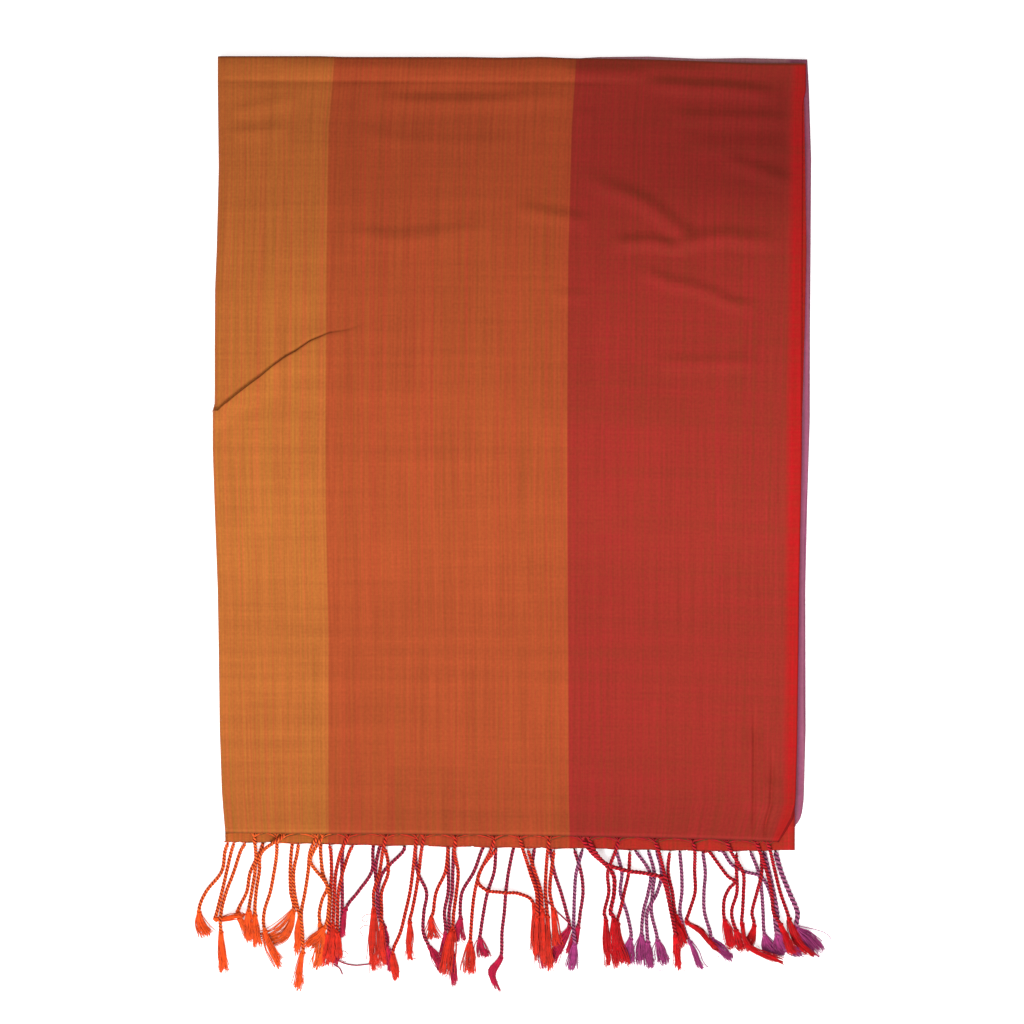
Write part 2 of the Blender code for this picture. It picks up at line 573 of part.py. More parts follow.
def clear_scene():
    """An empty file to build in."""
    for obj in list(bpy.data.objects):
        bpy.data.objects.remove(obj)


clear_scene()
stole = bpy.data.collections.new("folded_stole")
bpy.context.scene.collection.children.link(stole)
build_back_layer(stole)
build_folded_core(stole)
build_second_layer(stole)
build_front_layer(stole)

strands_laid = []
build_fringe("back_fringe", BACK_STRANDS, SECOND_HEM_LINE, BACK_HEM_LIFT, SEAM, BACK_TOP,
             (12.0, 340.0), 0.0, strands_laid, stole,
             material("back_cord", (0.3, 0.06, 0.24), 0.8))
build_fringe("second_fringe", SECOND_STRANDS, SECOND_HEM_LINE, 0.0, SECOND_BOTTOM, SECOND_TOP,
             (6.6, 346.3), 0.0, strands_laid, stole,
             material("second_cord", (0.8, 0.1, 0.03), 0.8))
build_fringe("front_fringe", FRONT_STRANDS, FRONT_HEM_LINE, 0.0, FRONT_BOTTOM, FRONT_TOP,
             (9.0, 333.5), SECOND_TOP, strands_laid, stole,
             material("front_cord", (0.75, 0.06, 0.03), 0.8))
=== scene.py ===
"""A striped stole with knotted fringes, folded flat on a pale floor and seen from above.

Sizes are in millimetres and turned to metres where a mesh is made. Across is measured from the
lengthwise fold at the left, down from the top fold, and depth from the line of the front hem.
"""

import math
from collections import namedtuple

import bpy
import numpy as np
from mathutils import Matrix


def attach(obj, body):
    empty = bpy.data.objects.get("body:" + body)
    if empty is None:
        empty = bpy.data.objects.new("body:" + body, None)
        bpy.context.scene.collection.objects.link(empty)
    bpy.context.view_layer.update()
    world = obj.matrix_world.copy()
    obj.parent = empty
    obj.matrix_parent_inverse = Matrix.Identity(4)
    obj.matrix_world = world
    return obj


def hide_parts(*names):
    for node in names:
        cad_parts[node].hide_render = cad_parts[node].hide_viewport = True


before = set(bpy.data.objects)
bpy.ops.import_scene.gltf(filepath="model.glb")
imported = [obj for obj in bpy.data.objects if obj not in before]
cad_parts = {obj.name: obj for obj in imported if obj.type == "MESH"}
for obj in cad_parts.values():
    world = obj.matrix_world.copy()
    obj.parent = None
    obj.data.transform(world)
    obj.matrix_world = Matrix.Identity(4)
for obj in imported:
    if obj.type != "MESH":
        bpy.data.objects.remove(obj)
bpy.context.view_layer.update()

# The back layer. The purple half of the stole's first end, which lies flat on the floor and
# carries the whole packet. Shot cloth in plain weave: coloured warp, dark weft, no lining.
MM = 0.001
FOLD_LEFT = -176.7          # x of the lengthwise fold
TOP_FOLD = 278.7            # y of the top fold
HEM_DOWN = 462.5            # from the top fold to the front hem, at the left
BACK_TOP = 1.2
BACK_SHORT = 1.0            # the back layer ends this far above the second one's hem
LEFT_CLEARANCE = 3.3        # the layers inside stay clear of the outer fold

Edge = namedtuple("Edge", "down left right")
PURPLE_EDGES = [
    Edge(0, 3.0, 354.6), Edge(19, 3.0, 355.6), Edge(60, 3.6, 356.9), Edge(115, 2.4, 356.6),
    Edge(160, 1.2, 356.2), Edge(216, 0.4, 356.1), Edge(264, 1.2, 354.6), Edge(318, 3.0, 353.4),
    Edge(401, 4.2, 353.6), Edge(443, 5.7, 352.5), Edge(453, 6.6, 351.2), Edge(458, 7.2, 348.2),
    Edge(475, 7.5, 342.0)]
# How far a line sags below a straight one, by its place across
Sag = namedtuple("Sag", "across down")
PURPLE_TOP_LINE = [Sag(0, 1.4), Sag(200, 1.2), Sag(230, -0.6), Sag(260, -0.9), Sag(290, 0.4),
                   Sag(317, 0.0), Sag(355, 0.8)]
SECOND_HEM_LINE = [Sag(0, 5.1), Sag(50, 6.0), Sag(100, 7.3), Sag(200, 9.0), Sag(250, 9.9),
                   Sag(300, 10.7), Sag(346, 10.4)]
EDGE_STEPS = 110            # points along the top and the bottom of an outline
SIDE_STEPS = 130            # points along each side


def read(table, key, column):
    """A column of a table at one key or at many, straight between its rows."""
    return np.interp(key, [row[0] for row in table], [getattr(row, column) for row in table])


def smooth(t):
    """0 to 1 with level ends."""
    t = np.clip(t, 0.0, 1.0)
    return t * t * (3 - 2 * t)


def place(across, down, z):
    """Points of the packet in metres, as rows of x, y and z."""
    across, down, z = np.broadcast_arrays(across, down, z)
    return np.stack([(FOLD_LEFT + across) * MM, (TOP_FOLD - down) * MM, z * MM], axis=-1)


def mesh_piece(name, points, faces, cloth_uv, materials, face_material=None):
    """A smooth mesh object with its place on the cloth, or along the yarn, as its UV map."""
    mesh = bpy.data.meshes.new(name)
    mesh.from_pydata(np.asarray(points).reshape(-1, 3).tolist(), [], faces)
    layer = mesh.uv_layers.new(name="cloth")
    corners = np.empty(len(mesh.loops), dtype=np.int32)
    mesh.loops.foreach_get("vertex_index", corners)
    layer.data.foreach_set("uv", (np.asarray(cloth_uv).reshape(-1, 2)[corners] * MM).ravel())
    for mat in materials:
        mesh.materials.append(mat)
    if face_material is not None:
        mesh.polygons.foreach_set("material_index", np.asarray(face_material, dtype=np.int32))
    mesh.shade_smooth()
    mesh.update()
    piece = bpy.data.objects.new(name, mesh)
    bpy.context.scene.collection.objects.link(piece)
    return piece


def outline(edges, top_line, bottom_line, left_inset, inset, ripple=0.0, phase=0.0):
    """Points round a folded layer, across and down, drawn in by the inset and a soft ripple."""
    side = np.linspace(0, 1, SIDE_STEPS, endpoint=False)
    level = np.linspace(0, 1, EDGE_STEPS, endpoint=False)
    wave = inset + ripple * (1 + np.sin(9 * side + phase) * np.sin(23 * side + 2 * phase))
    wave = np.maximum(wave, inset)
    from_left = left_inset + inset
    left_top = edges[0].left + from_left
    across = left_top + level * (edges[0].right - inset - left_top)
    top_side = np.stack([across, read(top_line, across, "down") + inset], axis=-1)
    sides = []
    for name, shares, moved in (("right", side, -wave), ("left", 1 - side, from_left)):
        at_edge = read(edges, HEM_DOWN * shares, name)
        top = read(top_line, at_edge, "down") + inset
        down = top + shares * (bottom_line(at_edge) - inset - top)
        sides.append(np.stack([read(edges, down, name) + moved, down], axis=-1))
    low_right = read(edges, bottom_line(edges[-1].right), "right") - inset
    low_left = read(edges, bottom_line(edges[-1].left), "left") + from_left
    across = low_right + level * (low_left - low_right)
    low_side = np.stack([across, bottom_line(across) - inset], axis=-1)
    return np.concatenate([top_side, sides[0], low_side, sides[1]])


def stacked_layers(name, rings, materials, ring_material):
    """A closed piece through level rings, each a height and its points round the edge."""
    count = len(rings[0][1])
    points = np.concatenate([place(ring[:, 0], ring[:, 1], z) for z, ring in rings])
    uv = np.concatenate([ring for _, ring in rings])
    faces = []
    for k in range(len(rings) - 1):
        low, high = k * count, (k + 1) * count
        faces += [(low + (i + 1) % count, low + i, high + i, high + (i + 1) % count)
                  for i in range(count)]
    face_material = np.repeat(ring_material, count).tolist()
    faces.append(tuple(range(count)))
    faces.append(tuple(range(len(points) - 1, len(points) - 1 - count, -1)))
    face_material += [ring_material[0], ring_material[-1]]
    return mesh_piece(name, points, faces, uv, materials, face_material)


def fill(tree, node, sockets):
    """Sets or links a node's inputs."""
    for key, value in sockets.items():
        if isinstance(value, bpy.types.NodeSocket):
            tree.links.new(value, node.inputs[key])
        else:
            node.inputs[key].default_value = value


def put(tree, kind, sockets=None, **settings):
    """A node with its settings, and its inputs set or linked."""
    node = tree.nodes.new(kind)
    for key, value in settings.items():
        setattr(node, key, value)
    fill(tree, node, sockets or {})
    return node


def sums(tree, operation, a, b=0.0):
    """A Math node's result."""
    return put(tree, "ShaderNodeMath", {0: a, 1: b}, operation=operation).outputs[0]


def times(tree, vector, factors):
    """A colour or vector times another, part by part."""
    return put(tree, "ShaderNodeVectorMath", {0: vector, 1: factors},
               operation="MULTIPLY").outputs[0]


def scaled(tree, vector, scale):
    """A colour or vector times one value."""
    return put(tree, "ShaderNodeVectorMath", {0: vector, "Scale": scale},
               operation="SCALE").outputs[0]


def mix(tree, share, first, second):
    """One colour turning to a second by a share, 0 to 1."""
    return put(tree, "ShaderNodeMix", {0: share, 6: first, 7: second}, data_type="RGBA",
               clamp_factor=True).outputs[2]


def ramp(tree, value, start, end, low, high, kind="LINEAR"):
    """A value turned from one range to another, and level outside it."""
    return put(tree, "ShaderNodeMapRange", {"Value": value, "From Min": start, "From Max": end,
                                            "To Min": low, "To Max": high},
               interpolation_type=kind).outputs[0]


def on_cloth(tree):
    """The place on the cloth or along the yarn in millimetres, whole and as its two parts."""
    uv = put(tree, "ShaderNodeUVMap", uv_map="cloth").outputs["UV"]
    spot = scaled(tree, uv, 1 / MM)
    return spot, *put(tree, "ShaderNodeSeparateXYZ", {0: spot}).outputs[:2]


def streaks(tree, vector, size, detail=2.0):
    """Noise stretched to a size in millimetres, about 0 and mostly within a half of it."""
    noise = put(tree, "ShaderNodeTexNoise",
                {"Vector": times(tree, vector, (1 / size[0], 1 / size[1], 1.0)), "Scale": 1.0,
                 "Detail": detail}, noise_dimensions="2D").outputs["Fac"]
    return sums(tree, "SUBTRACT", noise, 0.5)


def with_noises(tree, value, amount, noises):
    """A value with noises added, each by its own weight times the amount."""
    for noise, weight in noises:
        value = sums(tree, "ADD", value,
                     sums(tree, "MULTIPLY", amount, sums(tree, "MULTIPLY", noise, weight)))
    return value


def effect_group(name, inputs, outputs):
    """An empty node group with named sockets, each name with its kind and value."""
    tree = bpy.data.node_groups.new(name, "ShaderNodeTree")
    for socket, kind, value in inputs:
        made = tree.interface.new_socket(socket, in_out="INPUT", socket_type=kind)
        made.default_value = value
    for socket, kind in outputs:
        tree.interface.new_socket(socket, in_out="OUTPUT", socket_type=kind)
    return tree, tree.nodes.new("NodeGroupInput"), tree.nodes.new("NodeGroupOutput")


FLOAT, COLOUR = "NodeSocketFloat", "NodeSocketColor"
THREAD_PITCH = 0.62         # one thread to the next
SLUB_HEIGHT = 2.0           # of the uneven threads, against one thread's rise
SLOPE_SHADE_SHARE = 0.7            # painted shade: how much more dark weft is mixed in where the cloth leans towards the top fold, turned from the key lamp


def plain_weave_group():
    """Warp over dark weft: uneven threads both ways, patches, painted shade on slopes turned from
    the key lamp, and the relief of the weave.
    """
    tree, given, result = effect_group(
        "Plain weave",
        [("Warp", COLOUR, (0.5, 0.1, 0.03, 1)), ("Weft", COLOUR, (0.2, 0.09, 0.02, 1)),
         ("Weft Share", FLOAT, 0.3), ("Streaks", FLOAT, 1.0), ("Patches", FLOAT, 1.0)],
        [("Color", COLOUR), ("Height", FLOAT)])
    threads, *places = on_cloth(tree)
    warp_fine = streaks(tree, threads, (1.5, 70), 1.0)
    warp_broad = streaks(tree, threads, (8, 420), 2.0)
    weft_fine = streaks(tree, threads, (42, 1.3), 1.0)
    weft_broad = streaks(tree, threads, (190, 7), 2.0)
    patch = streaks(tree, threads, (34, 22), 3.0)
    grain = streaks(tree, threads, (1.7, 1.7), 1.0)
    warp_hue = streaks(tree, threads, (1.2, 340), 2.0)

    share = with_noises(
        tree, given.outputs["Weft Share"], given.outputs["Streaks"],
        ((warp_fine, -0.55), (warp_broad, 0.5), (weft_fine, 0.75), (weft_broad, 0.75)))
    share = with_noises(tree, share, given.outputs["Patches"], ((patch, 0.9),))
    # Painted shade: where the cloth leans towards the top fold, turned from the key lamp, more of
    # the dark weft is mixed in
    normal = put(tree, "ShaderNodeNewGeometry").outputs["Normal"]
    lean = put(tree, "ShaderNodeSeparateXYZ", {0: normal}).outputs[1]
    slope_shade = sums(tree, "MULTIPLY", sums(tree, "MAXIMUM", lean, -0.05), SLOPE_SHADE_SHARE)
    colour = mix(tree, sums(tree, "ADD", share, slope_shade), given.outputs["Warp"],
                 given.outputs["Weft"])
    light = with_noises(tree, 1.0, given.outputs["Streaks"],
                        ((warp_fine, 0.5), (weft_fine, 0.5), (grain, 0.7)))
    # Some warp ends are a little more golden than their neighbours
    golden = [sums(tree, "ADD", sums(tree, "MULTIPLY", warp_hue, gain), 1.0)
              for gain in (-0.3, 0.6, -0.4)]
    hue = put(tree, "ShaderNodeCombineXYZ", dict(enumerate(golden))).outputs[0]

    warp, weft = (sums(tree, "SINE", sums(tree, "MULTIPLY", spot, math.pi / THREAD_PITCH))
                  for spot in places)
    over = sums(tree, "GREATER_THAN", sums(tree, "MULTIPLY", warp, weft))
    under = sums(tree, "SUBTRACT", 1.0, over)
    weave = sums(tree, "ADD", sums(tree, "MULTIPLY", over, sums(tree, "ABSOLUTE", warp)),
                 sums(tree, "MULTIPLY", under, sums(tree, "ABSOLUTE", weft)))
    slubs = sums(tree, "MULTIPLY", sums(tree, "ADD", warp_fine, weft_fine), SLUB_HEIGHT)
    fill(tree, result, {"Color": times(tree, scaled(tree, colour, light), hue),
                        "Height": sums(tree, "ADD", weave, slubs)})
    return tree


STRIPE_FADE = 0.7           # one stripe turns to the next over this width


def warp_stripes_group():
    """Four warp colours side by side, each changing over a few threads to the next."""
    tree, given, result = effect_group(
        "Warp stripes",
        [("First", COLOUR, (1, 1, 1, 1)), ("Second", COLOUR, (1, 1, 1, 1)),
         ("Third", COLOUR, (1, 1, 1, 1)), ("Selvedge", COLOUR, (1, 1, 1, 1)),
         ("First End", FLOAT, 68.0), ("Second End", FLOAT, 212.0), ("Third End", FLOAT, 341.0),
         ("Selvedge Fade", FLOAT, 4.6)],
        [("Color", COLOUR)])
    _, across, _ = on_cloth(tree)
    colour = given.outputs["First"]
    edges = (("First End", "Second", STRIPE_FADE), ("Second End", "Third", STRIPE_FADE),
             ("Third End", "Selvedge", given.outputs["Selvedge Fade"]))
    for end, following, width in edges:
        past = sums(tree, "DIVIDE", sums(tree, "SUBTRACT", across, given.outputs[end]), width)
        colour = mix(tree, past, colour, given.outputs[following])
    fill(tree, result, {"Color": colour})
    return tree


PLAIN_WEAVE = plain_weave_group()
WARP_STRIPES = warp_stripes_group()
SRGB_GAMMA = 2.2


def dye(red, green, blue, level=1.0):
    """A colour as a swatch would be read, 0 to 255, as linear light."""
    return tuple(level * (value / 255) ** SRGB_GAMMA for value in (red, green, blue)) + (1.0,)


# In a Weave, the fifth value is how much of the painted shade down the cloth's length it takes; the
# sixth and seventh are where the painted shade along a hem and the painted shadow at the selvedge
# edge fall.
Weave = namedtuple("Weave", "weft weft_share streaks patches deepening hem_down last_thread")
NO_EDGE_SHADE = 1000.0     # no painted shadow at the selvedge edge
# Painted shade down the cloth's length: how bright its colour is kept, darkest towards the top fold
# and lower again towards the hem, for the way the light falls on it
Depth = namedtuple("Depth", "down level")
PAINTED_SHADE_LEVELS = [Depth(0, 0.73), Depth(20, 0.68), Depth(55, 0.67), Depth(79, 0.70), Depth(107, 0.75),
          Depth(142, 0.815), Depth(186, 0.875), Depth(234, 0.92), Depth(282, 0.955),
          Depth(330, 0.90), Depth(377, 0.89), Depth(419, 0.85), Depth(450, 0.78), Depth(480, 0.74)]
PAINTED_SHADE_SPAN = 480.0
EDGE_SHADE_LEVEL = 0.55           # painted shadow along the selvedge edge, on its final thread
HEM_SHADE = 0.5             # painted shade along the final threads of a hem
HEM_SHADE_REACH = 1.5
PAINTED_HOLLOW_DOWN = 47.0          # the middle of a broad patch of painted shade near the top, at the right
PAINTED_HOLLOW_REACH = (20.0, 56.0)  # from its middle, where it begins to fade and where it ends
PAINTED_HOLLOW_ACROSS = (200.0, 335.0)  # it deepens from the first place across to the second
PAINTED_HOLLOW_SELVEDGE = (339.0, 345.0)  # and is nearly gone on the selvedge
PAINTED_HOLLOW_SHADE = 0.17


def painted_shade_group():
    """Painted shade: darkens a colour down the cloth, in a broad patch at the upper right, along a
    hem and at the selvedge edge, the green and blue of it a little more.
    """
    tree, given, result = effect_group(
        "Deepening", [("Color", COLOUR, (1, 1, 1, 1)), ("Amount", FLOAT, 1.0),
                      ("Hem Down", FLOAT, 470.0), ("Last Thread", FLOAT, NO_EDGE_SHADE)],
        [("Color", COLOUR)])
    _, across, down = on_cloth(tree)
    # Painted shade down the cloth's length, from the table of levels
    curve = put(tree, "ShaderNodeFloatCurve", {"Value": sums(tree, "DIVIDE", down, PAINTED_SHADE_SPAN)})
    points = curve.mapping.curves[0].points
    for spot in PAINTED_SHADE_LEVELS[1:-1]:
        points.new(spot.down / PAINTED_SHADE_SPAN, spot.level)
    points[0].location = (0.0, PAINTED_SHADE_LEVELS[0].level)
    points[len(points) - 1].location = (1.0, PAINTED_SHADE_LEVELS[-1].level)
    curve.mapping.update()
    loss = sums(tree, "MULTIPLY", sums(tree, "SUBTRACT", 1.0, curve.outputs[0]),
                given.outputs["Amount"])
    # Painted shade: a broad darker patch near the top, at the right
    from_middle = sums(tree, "ABSOLUTE", sums(tree, "SUBTRACT", down, PAINTED_HOLLOW_DOWN))
    near = ramp(tree, from_middle, *PAINTED_HOLLOW_REACH, PAINTED_HOLLOW_SHADE, 0.0, "SMOOTHSTEP")
    at_right = ramp(tree, across, *PAINTED_HOLLOW_ACROSS, 0.0, 1.0)
    inside = ramp(tree, across, *PAINTED_HOLLOW_SELVEDGE, 1.0, 0.25)
    hollow_shade = sums(tree, "MULTIPLY", near, sums(tree, "MULTIPLY", at_right, inside))
    loss = sums(tree, "ADD", loss, hollow_shade)
    # Painted shadow on the final thread of a selvedge, where it stands over the layer below
    past_edge = sums(tree, "SUBTRACT", across, given.outputs["Last Thread"])
    selvedge_shade = ramp(tree, past_edge, -0.3, 0.2, 1.0, EDGE_SHADE_LEVEL)
    # Painted shade along a hem, where its edge stands over what lies below
    from_hem = sums(tree, "SUBTRACT", given.outputs["Hem Down"], down)
    hem = ramp(tree, from_hem, 0.2, HEM_SHADE_REACH, HEM_SHADE, 1.0)
    level = sums(tree, "MULTIPLY", sums(tree, "SUBTRACT", 1.0, loss),
                 sums(tree, "MULTIPLY", hem, selvedge_shade))
    redder = sums(tree, "SUBTRACT", 1.0, sums(tree, "MULTIPLY", loss, 0.5))
    cooler = sums(tree, "MULTIPLY", level, redder)
    tint = put(tree, "ShaderNodeCombineXYZ", {0: level, 1: cooler, 2: cooler}).outputs[0]
    fill(tree, result, {"Color": times(tree, given.outputs["Color"], tint)})
    return tree


PAINTED_SHADE_GROUP = painted_shade_group()


def shot_cloth(name, stripes, ends, weave):
    """Striped shot cloth: stripes in the warp, the plain weave over them, painted shade, a soft
    sheen.
    """
    mat = bpy.data.materials.new(name)
    mat.use_nodes = True
    tree = mat.node_tree
    sockets = ("First", "Second", "Third", "Selvedge", "First End", "Second End", "Third End")
    warp = put(tree, "ShaderNodeGroup", dict(zip(sockets, (*stripes, *ends))),
               node_tree=WARP_STRIPES)
    cloth = put(tree, "ShaderNodeGroup",
                {"Warp": warp.outputs["Color"], "Weft": weave.weft, "Streaks": weave.streaks,
                 "Weft Share": weave.weft_share, "Patches": weave.patches}, node_tree=PLAIN_WEAVE)
    shaded_cloth = put(tree, "ShaderNodeGroup",
                 {"Color": cloth.outputs["Color"], "Amount": weave.deepening,
                  "Hem Down": weave.hem_down, "Last Thread": weave.last_thread},
                 node_tree=PAINTED_SHADE_GROUP)
    bump = put(tree, "ShaderNodeBump", {"Height": cloth.outputs["Height"], "Strength": 0.35,
                                        "Distance": 0.12 * MM})
    fill(tree, tree.nodes["Principled BSDF"], {
        "Base Color": shaded_cloth.outputs["Color"], "Normal": bump.outputs["Normal"],
        "Roughness": 0.72, "Specular IOR Level": 0.09, "Sheen Weight": 0.03,
        "Sheen Roughness": 0.4})
    return mat


PURPLE_STRIPES = (dye(169, 93, 43), dye(147, 49, 80), dye(184, 134, 142), dye(156, 90, 119))
PURPLE_ENDS = (68.0, 212.0, 341.0)
purple_cloth = shot_cloth(
    "Purple half cloth", PURPLE_STRIPES, PURPLE_ENDS,
    Weave(weft=dye(112, 64, 69), weft_share=0.25, streaks=0.35, patches=0.12, deepening=0.7,
          hem_down=470.0, last_thread=NO_EDGE_SHADE))


def back_end(across):
    """How far down the back layer reaches, by the place across."""
    return HEM_DOWN + read(SECOND_HEM_LINE, across, "down") - BACK_SHORT


back_rings = [(z, outline(PURPLE_EDGES, PURPLE_TOP_LINE, back_end, LEFT_CLEARANCE, inset + 0.4))
              for z, inset in ((0.0, 0.25), (0.12, 0.08), (0.35, 0.0), (0.8, 0.0), (1.05, 0.1),
                               (BACK_TOP, 0.35))]
back_cloth = stacked_layers("back_cloth", back_rings, [purple_cloth], [0] * (len(back_rings) - 1))
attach(back_cloth, "root")
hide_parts("back_layer")

# The hidden folds. Five layers of the same cloth between the back and the second layer, turned
# at the top and bottom, lying loosely, their selvedges not quite in line at the right.
SECOND_EDGES = [
    Edge(0, 3.0, 351.0), Edge(20, 3.0, 352.3), Edge(60, 3.2, 353.0), Edge(115, 2.4, 353.8),
    Edge(160, 1.2, 352.8), Edge(211, 0.6, 351.3), Edge(318, 2.6, 348.2), Edge(401, 3.8, 346.9),
    Edge(448, 5.8, 346.8), Edge(480, 7.0, 347.0)]
FRONT_TOP_LINE = [Sag(0, -0.8), Sag(64, -0.8), Sag(78, -0.3), Sag(150, -0.3), Sag(172, 0.1),
                  Sag(196, -0.4), Sag(212, 0.3), Sag(240, 0.7), Sag(266, 1.3), Sag(290, 2.1),
                  Sag(312, 3.0), Sag(326, 3.4), Sag(355, 3.4)]
CORE_BOTTOM = 1.5
CORE_TOP = 4.7
HIDDEN_SHORT = 5.0          # the hidden folds end this far above the front hem
Layer = namedtuple("Layer", "edges top_line inset ripple phase cloth")
HIDDEN_LAYERS = [
    Layer(PURPLE_EDGES, PURPLE_TOP_LINE, 0.0, 0.0, 0.0, 0),
    Layer(PURPLE_EDGES, PURPLE_TOP_LINE, 0.5, 0.9, 1.1, 0),
    Layer(PURPLE_EDGES, PURPLE_TOP_LINE, 0.2, 0.6, 2.7, 0),
    Layer(SECOND_EDGES, FRONT_TOP_LINE, 0.6, 0.8, 0.6, 1),
    Layer(SECOND_EDGES, FRONT_TOP_LINE, 0.0, 0.4, 4.0, 1)]
RED_STRIPES = (dye(189, 110, 51), dye(176, 80, 44), dye(158, 44, 41), dye(186, 11, 30))
RED_ENDS = (68.0, 212.0, 341.0)
red_cloth = shot_cloth(
    "Red half cloth", RED_STRIPES, RED_ENDS,
    Weave(weft=dye(107, 55, 27), weft_share=0.3, streaks=0.33, patches=0.12, deepening=0.6,
          hem_down=500.0, last_thread=NO_EDGE_SHADE))


def hidden_end(across):
    """How far down the hidden folds reach, the same all across."""
    return HEM_DOWN - HIDDEN_SHORT + 0 * across


# How high each ring of a layer is, as a share of its height, and how far it is drawn in
LAYER_ROUNDING = [(0.0, 1.1), (0.08, 0.35), (0.25, 0.0), (0.75, 0.0), (0.92, 0.35), (1.0, 1.1)]
hidden_rings = []
ring_cloth = []
layer_height = (CORE_TOP - CORE_BOTTOM) / len(HIDDEN_LAYERS)
for k, layer in enumerate(HIDDEN_LAYERS):
    for rise, drawn_in in LAYER_ROUNDING:
        if k and rise == 0.0:
            continue
        ring = outline(layer.edges, layer.top_line, hidden_end, LEFT_CLEARANCE,
                       layer.inset + drawn_in, layer.ripple, layer.phase)
        hidden_rings.append((CORE_BOTTOM + layer_height * (k + rise), ring))
        ring_cloth.append(layer.cloth)
hidden_folds = stacked_layers("hidden_folds", hidden_rings, [purple_cloth, red_cloth],
                              ring_cloth[:-1])
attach(hidden_folds, "root")
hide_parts("folded_core")

# The second layer. The red half of the stole's other end. All but a band of it is hidden: the
# band shows below the front hem, its dark weft uppermost, with the bright selvedge at the right.
WALL = 1.1
SECOND_TOP = 6.1
SECOND_TOP_INSET = 3.2
FRONT_HEM_LINE = [Sag(0, 0.0), Sag(60, 0.6), Sag(120, 0.9), Sag(200, 1.8), Sag(260, 3.0),
                  Sag(300, 4.0), Sag(340, 5.5)]
SECOND_ROWS = 90
SECOND_COLUMNS = 110
BAND_ROWS = 8
HIDDEN_INSET = 4.2          # clear of the front layer's roll
BAND_INSET = 0.7            # below the front hem, where its own fold shows
CREASE_SHARE = 0.5          # it follows the creases of the layer above this far

Crease = namedtuple("Crease", "route half_width height")
CREASES = [
    Crease([(10, 7), (235, 8)], 7, 0.6),
    Crease([(205, 10), (264, 11)], 3.8, 0.8),
    Crease([(8, 33), (22, 30.7), (40, 27), (56, 25)], 4, 0.5),
    Crease([(8, 45), (28, 44.4), (46, 42)], 4, 0.55),
    Crease([(78, 25.5), (130, 26.5), (188, 25), (225, 25)], 4.5, 0.75),
    Crease([(76, 44), (111, 49.5), (141, 51.2), (171, 50.7), (196, 49)], 4.4, 0.45),
    Crease([(70, 103), (111, 109), (141, 104), (176, 100)], 5, 0.5),
    Crease([(252, 16), (270, 17), (289, 18.8), (301, 18.8), (317, 20.4), (329, 22), (343, 24)],
           4.4, 1.3),
    Crease([(214, 35), (228, 35)], 3.6, 0.4),
    Crease([(266, 34.6), (290, 36.4), (311, 36.4), (330, 37), (350, 38)], 4.2, 0.8),
    Crease([(278, 52), (300, 53.6), (350, 54)], 5.4, 0.75),
    Crease([(300, 60), (314, 64), (328, 69), (341, 74), (350, 76)], 4.6, 1.0),
    Crease([(214, 68), (225, 72.7), (236.6, 78.7), (248.5, 82.8), (260.5, 89.4), (272.4, 98.9),
            (280, 105.5), (287.3, 109), (299, 107.9), (308, 107.3), (317, 109), (335, 109.7),
            (350, 110.5)], 5.2, 1.45),
    Crease([(234, 111.4), (248, 110.6), (261, 110.2), (274, 112.8), (294, 111)], 4.4, 1.4),
    Crease([(176, 90), (189, 91.8), (207, 95.4), (228, 99.5)], 4.6, 0.9),
    Crease([(248.5, 128.1), (260.5, 129.6), (272.4, 134.7), (284.3, 136.8), (299.2, 141.9),
            (308, 147), (317, 148.7), (330, 149.6)], 4.2, 0.9),
    Crease([(200, 142), (226, 143)], 4.2, 0.4),
    Crease([(258, 182), (290, 182.8), (330, 181)], 4.2, 0.9),
    Crease([(120, 200), (300, 214)], 22, 0.5),
    Crease([(322, 400), (322, 452)], 7, 0.8),
    Crease([(334, 428), (330, 455)], 7, 0.7)]


def crease_height(creases, across, down):
    """How far soft creases lift the cloth, or sink it where their height is below 0."""
    height = np.zeros(np.broadcast(across, down).shape)
    for fold in creases:
        nearest = np.full(height.shape, np.inf)
        travelled = np.zeros(height.shape)
        length = 0.0
        for start, end in zip(fold.route, fold.route[1:]):
            run = np.subtract(end, start).astype(float)
            from_across = across - start[0]
            from_down = down - start[1]
            along = np.clip((from_across * run[0] + from_down * run[1]) / run.dot(run), 0.0, 1.0)
            distance = np.hypot(from_across - along * run[0], from_down - along * run[1])
            travelled = np.where(distance < nearest, length + along * np.hypot(*run), travelled)
            nearest = np.minimum(nearest, distance)
            length += np.hypot(*run)
        share = travelled / length
        ends = smooth(share / 0.25) * smooth((1 - share) / 0.25)
        height += fold.height * ends * smooth(1 - nearest / (1.6 * fold.half_width))
    return height


def cloth_sheet(name, across, down, z, uv, mat, wall):
    """A sheet from a grid on its upper face, thickened downwards."""
    rows, columns = across.shape
    number = np.arange(rows * columns).reshape(rows, columns)
    faces = np.stack([number[:-1, :-1], number[1:, :-1], number[1:, 1:], number[:-1, 1:]], axis=-1)
    piece = mesh_piece(name, place(across, down, z), faces.reshape(-1, 4).tolist(), uv, [mat])
    thick = piece.modifiers.new("Wall", "SOLIDIFY")
    thick.thickness = wall * MM
    thick.offset = -1.0
    thick.use_even_offset = False
    return piece


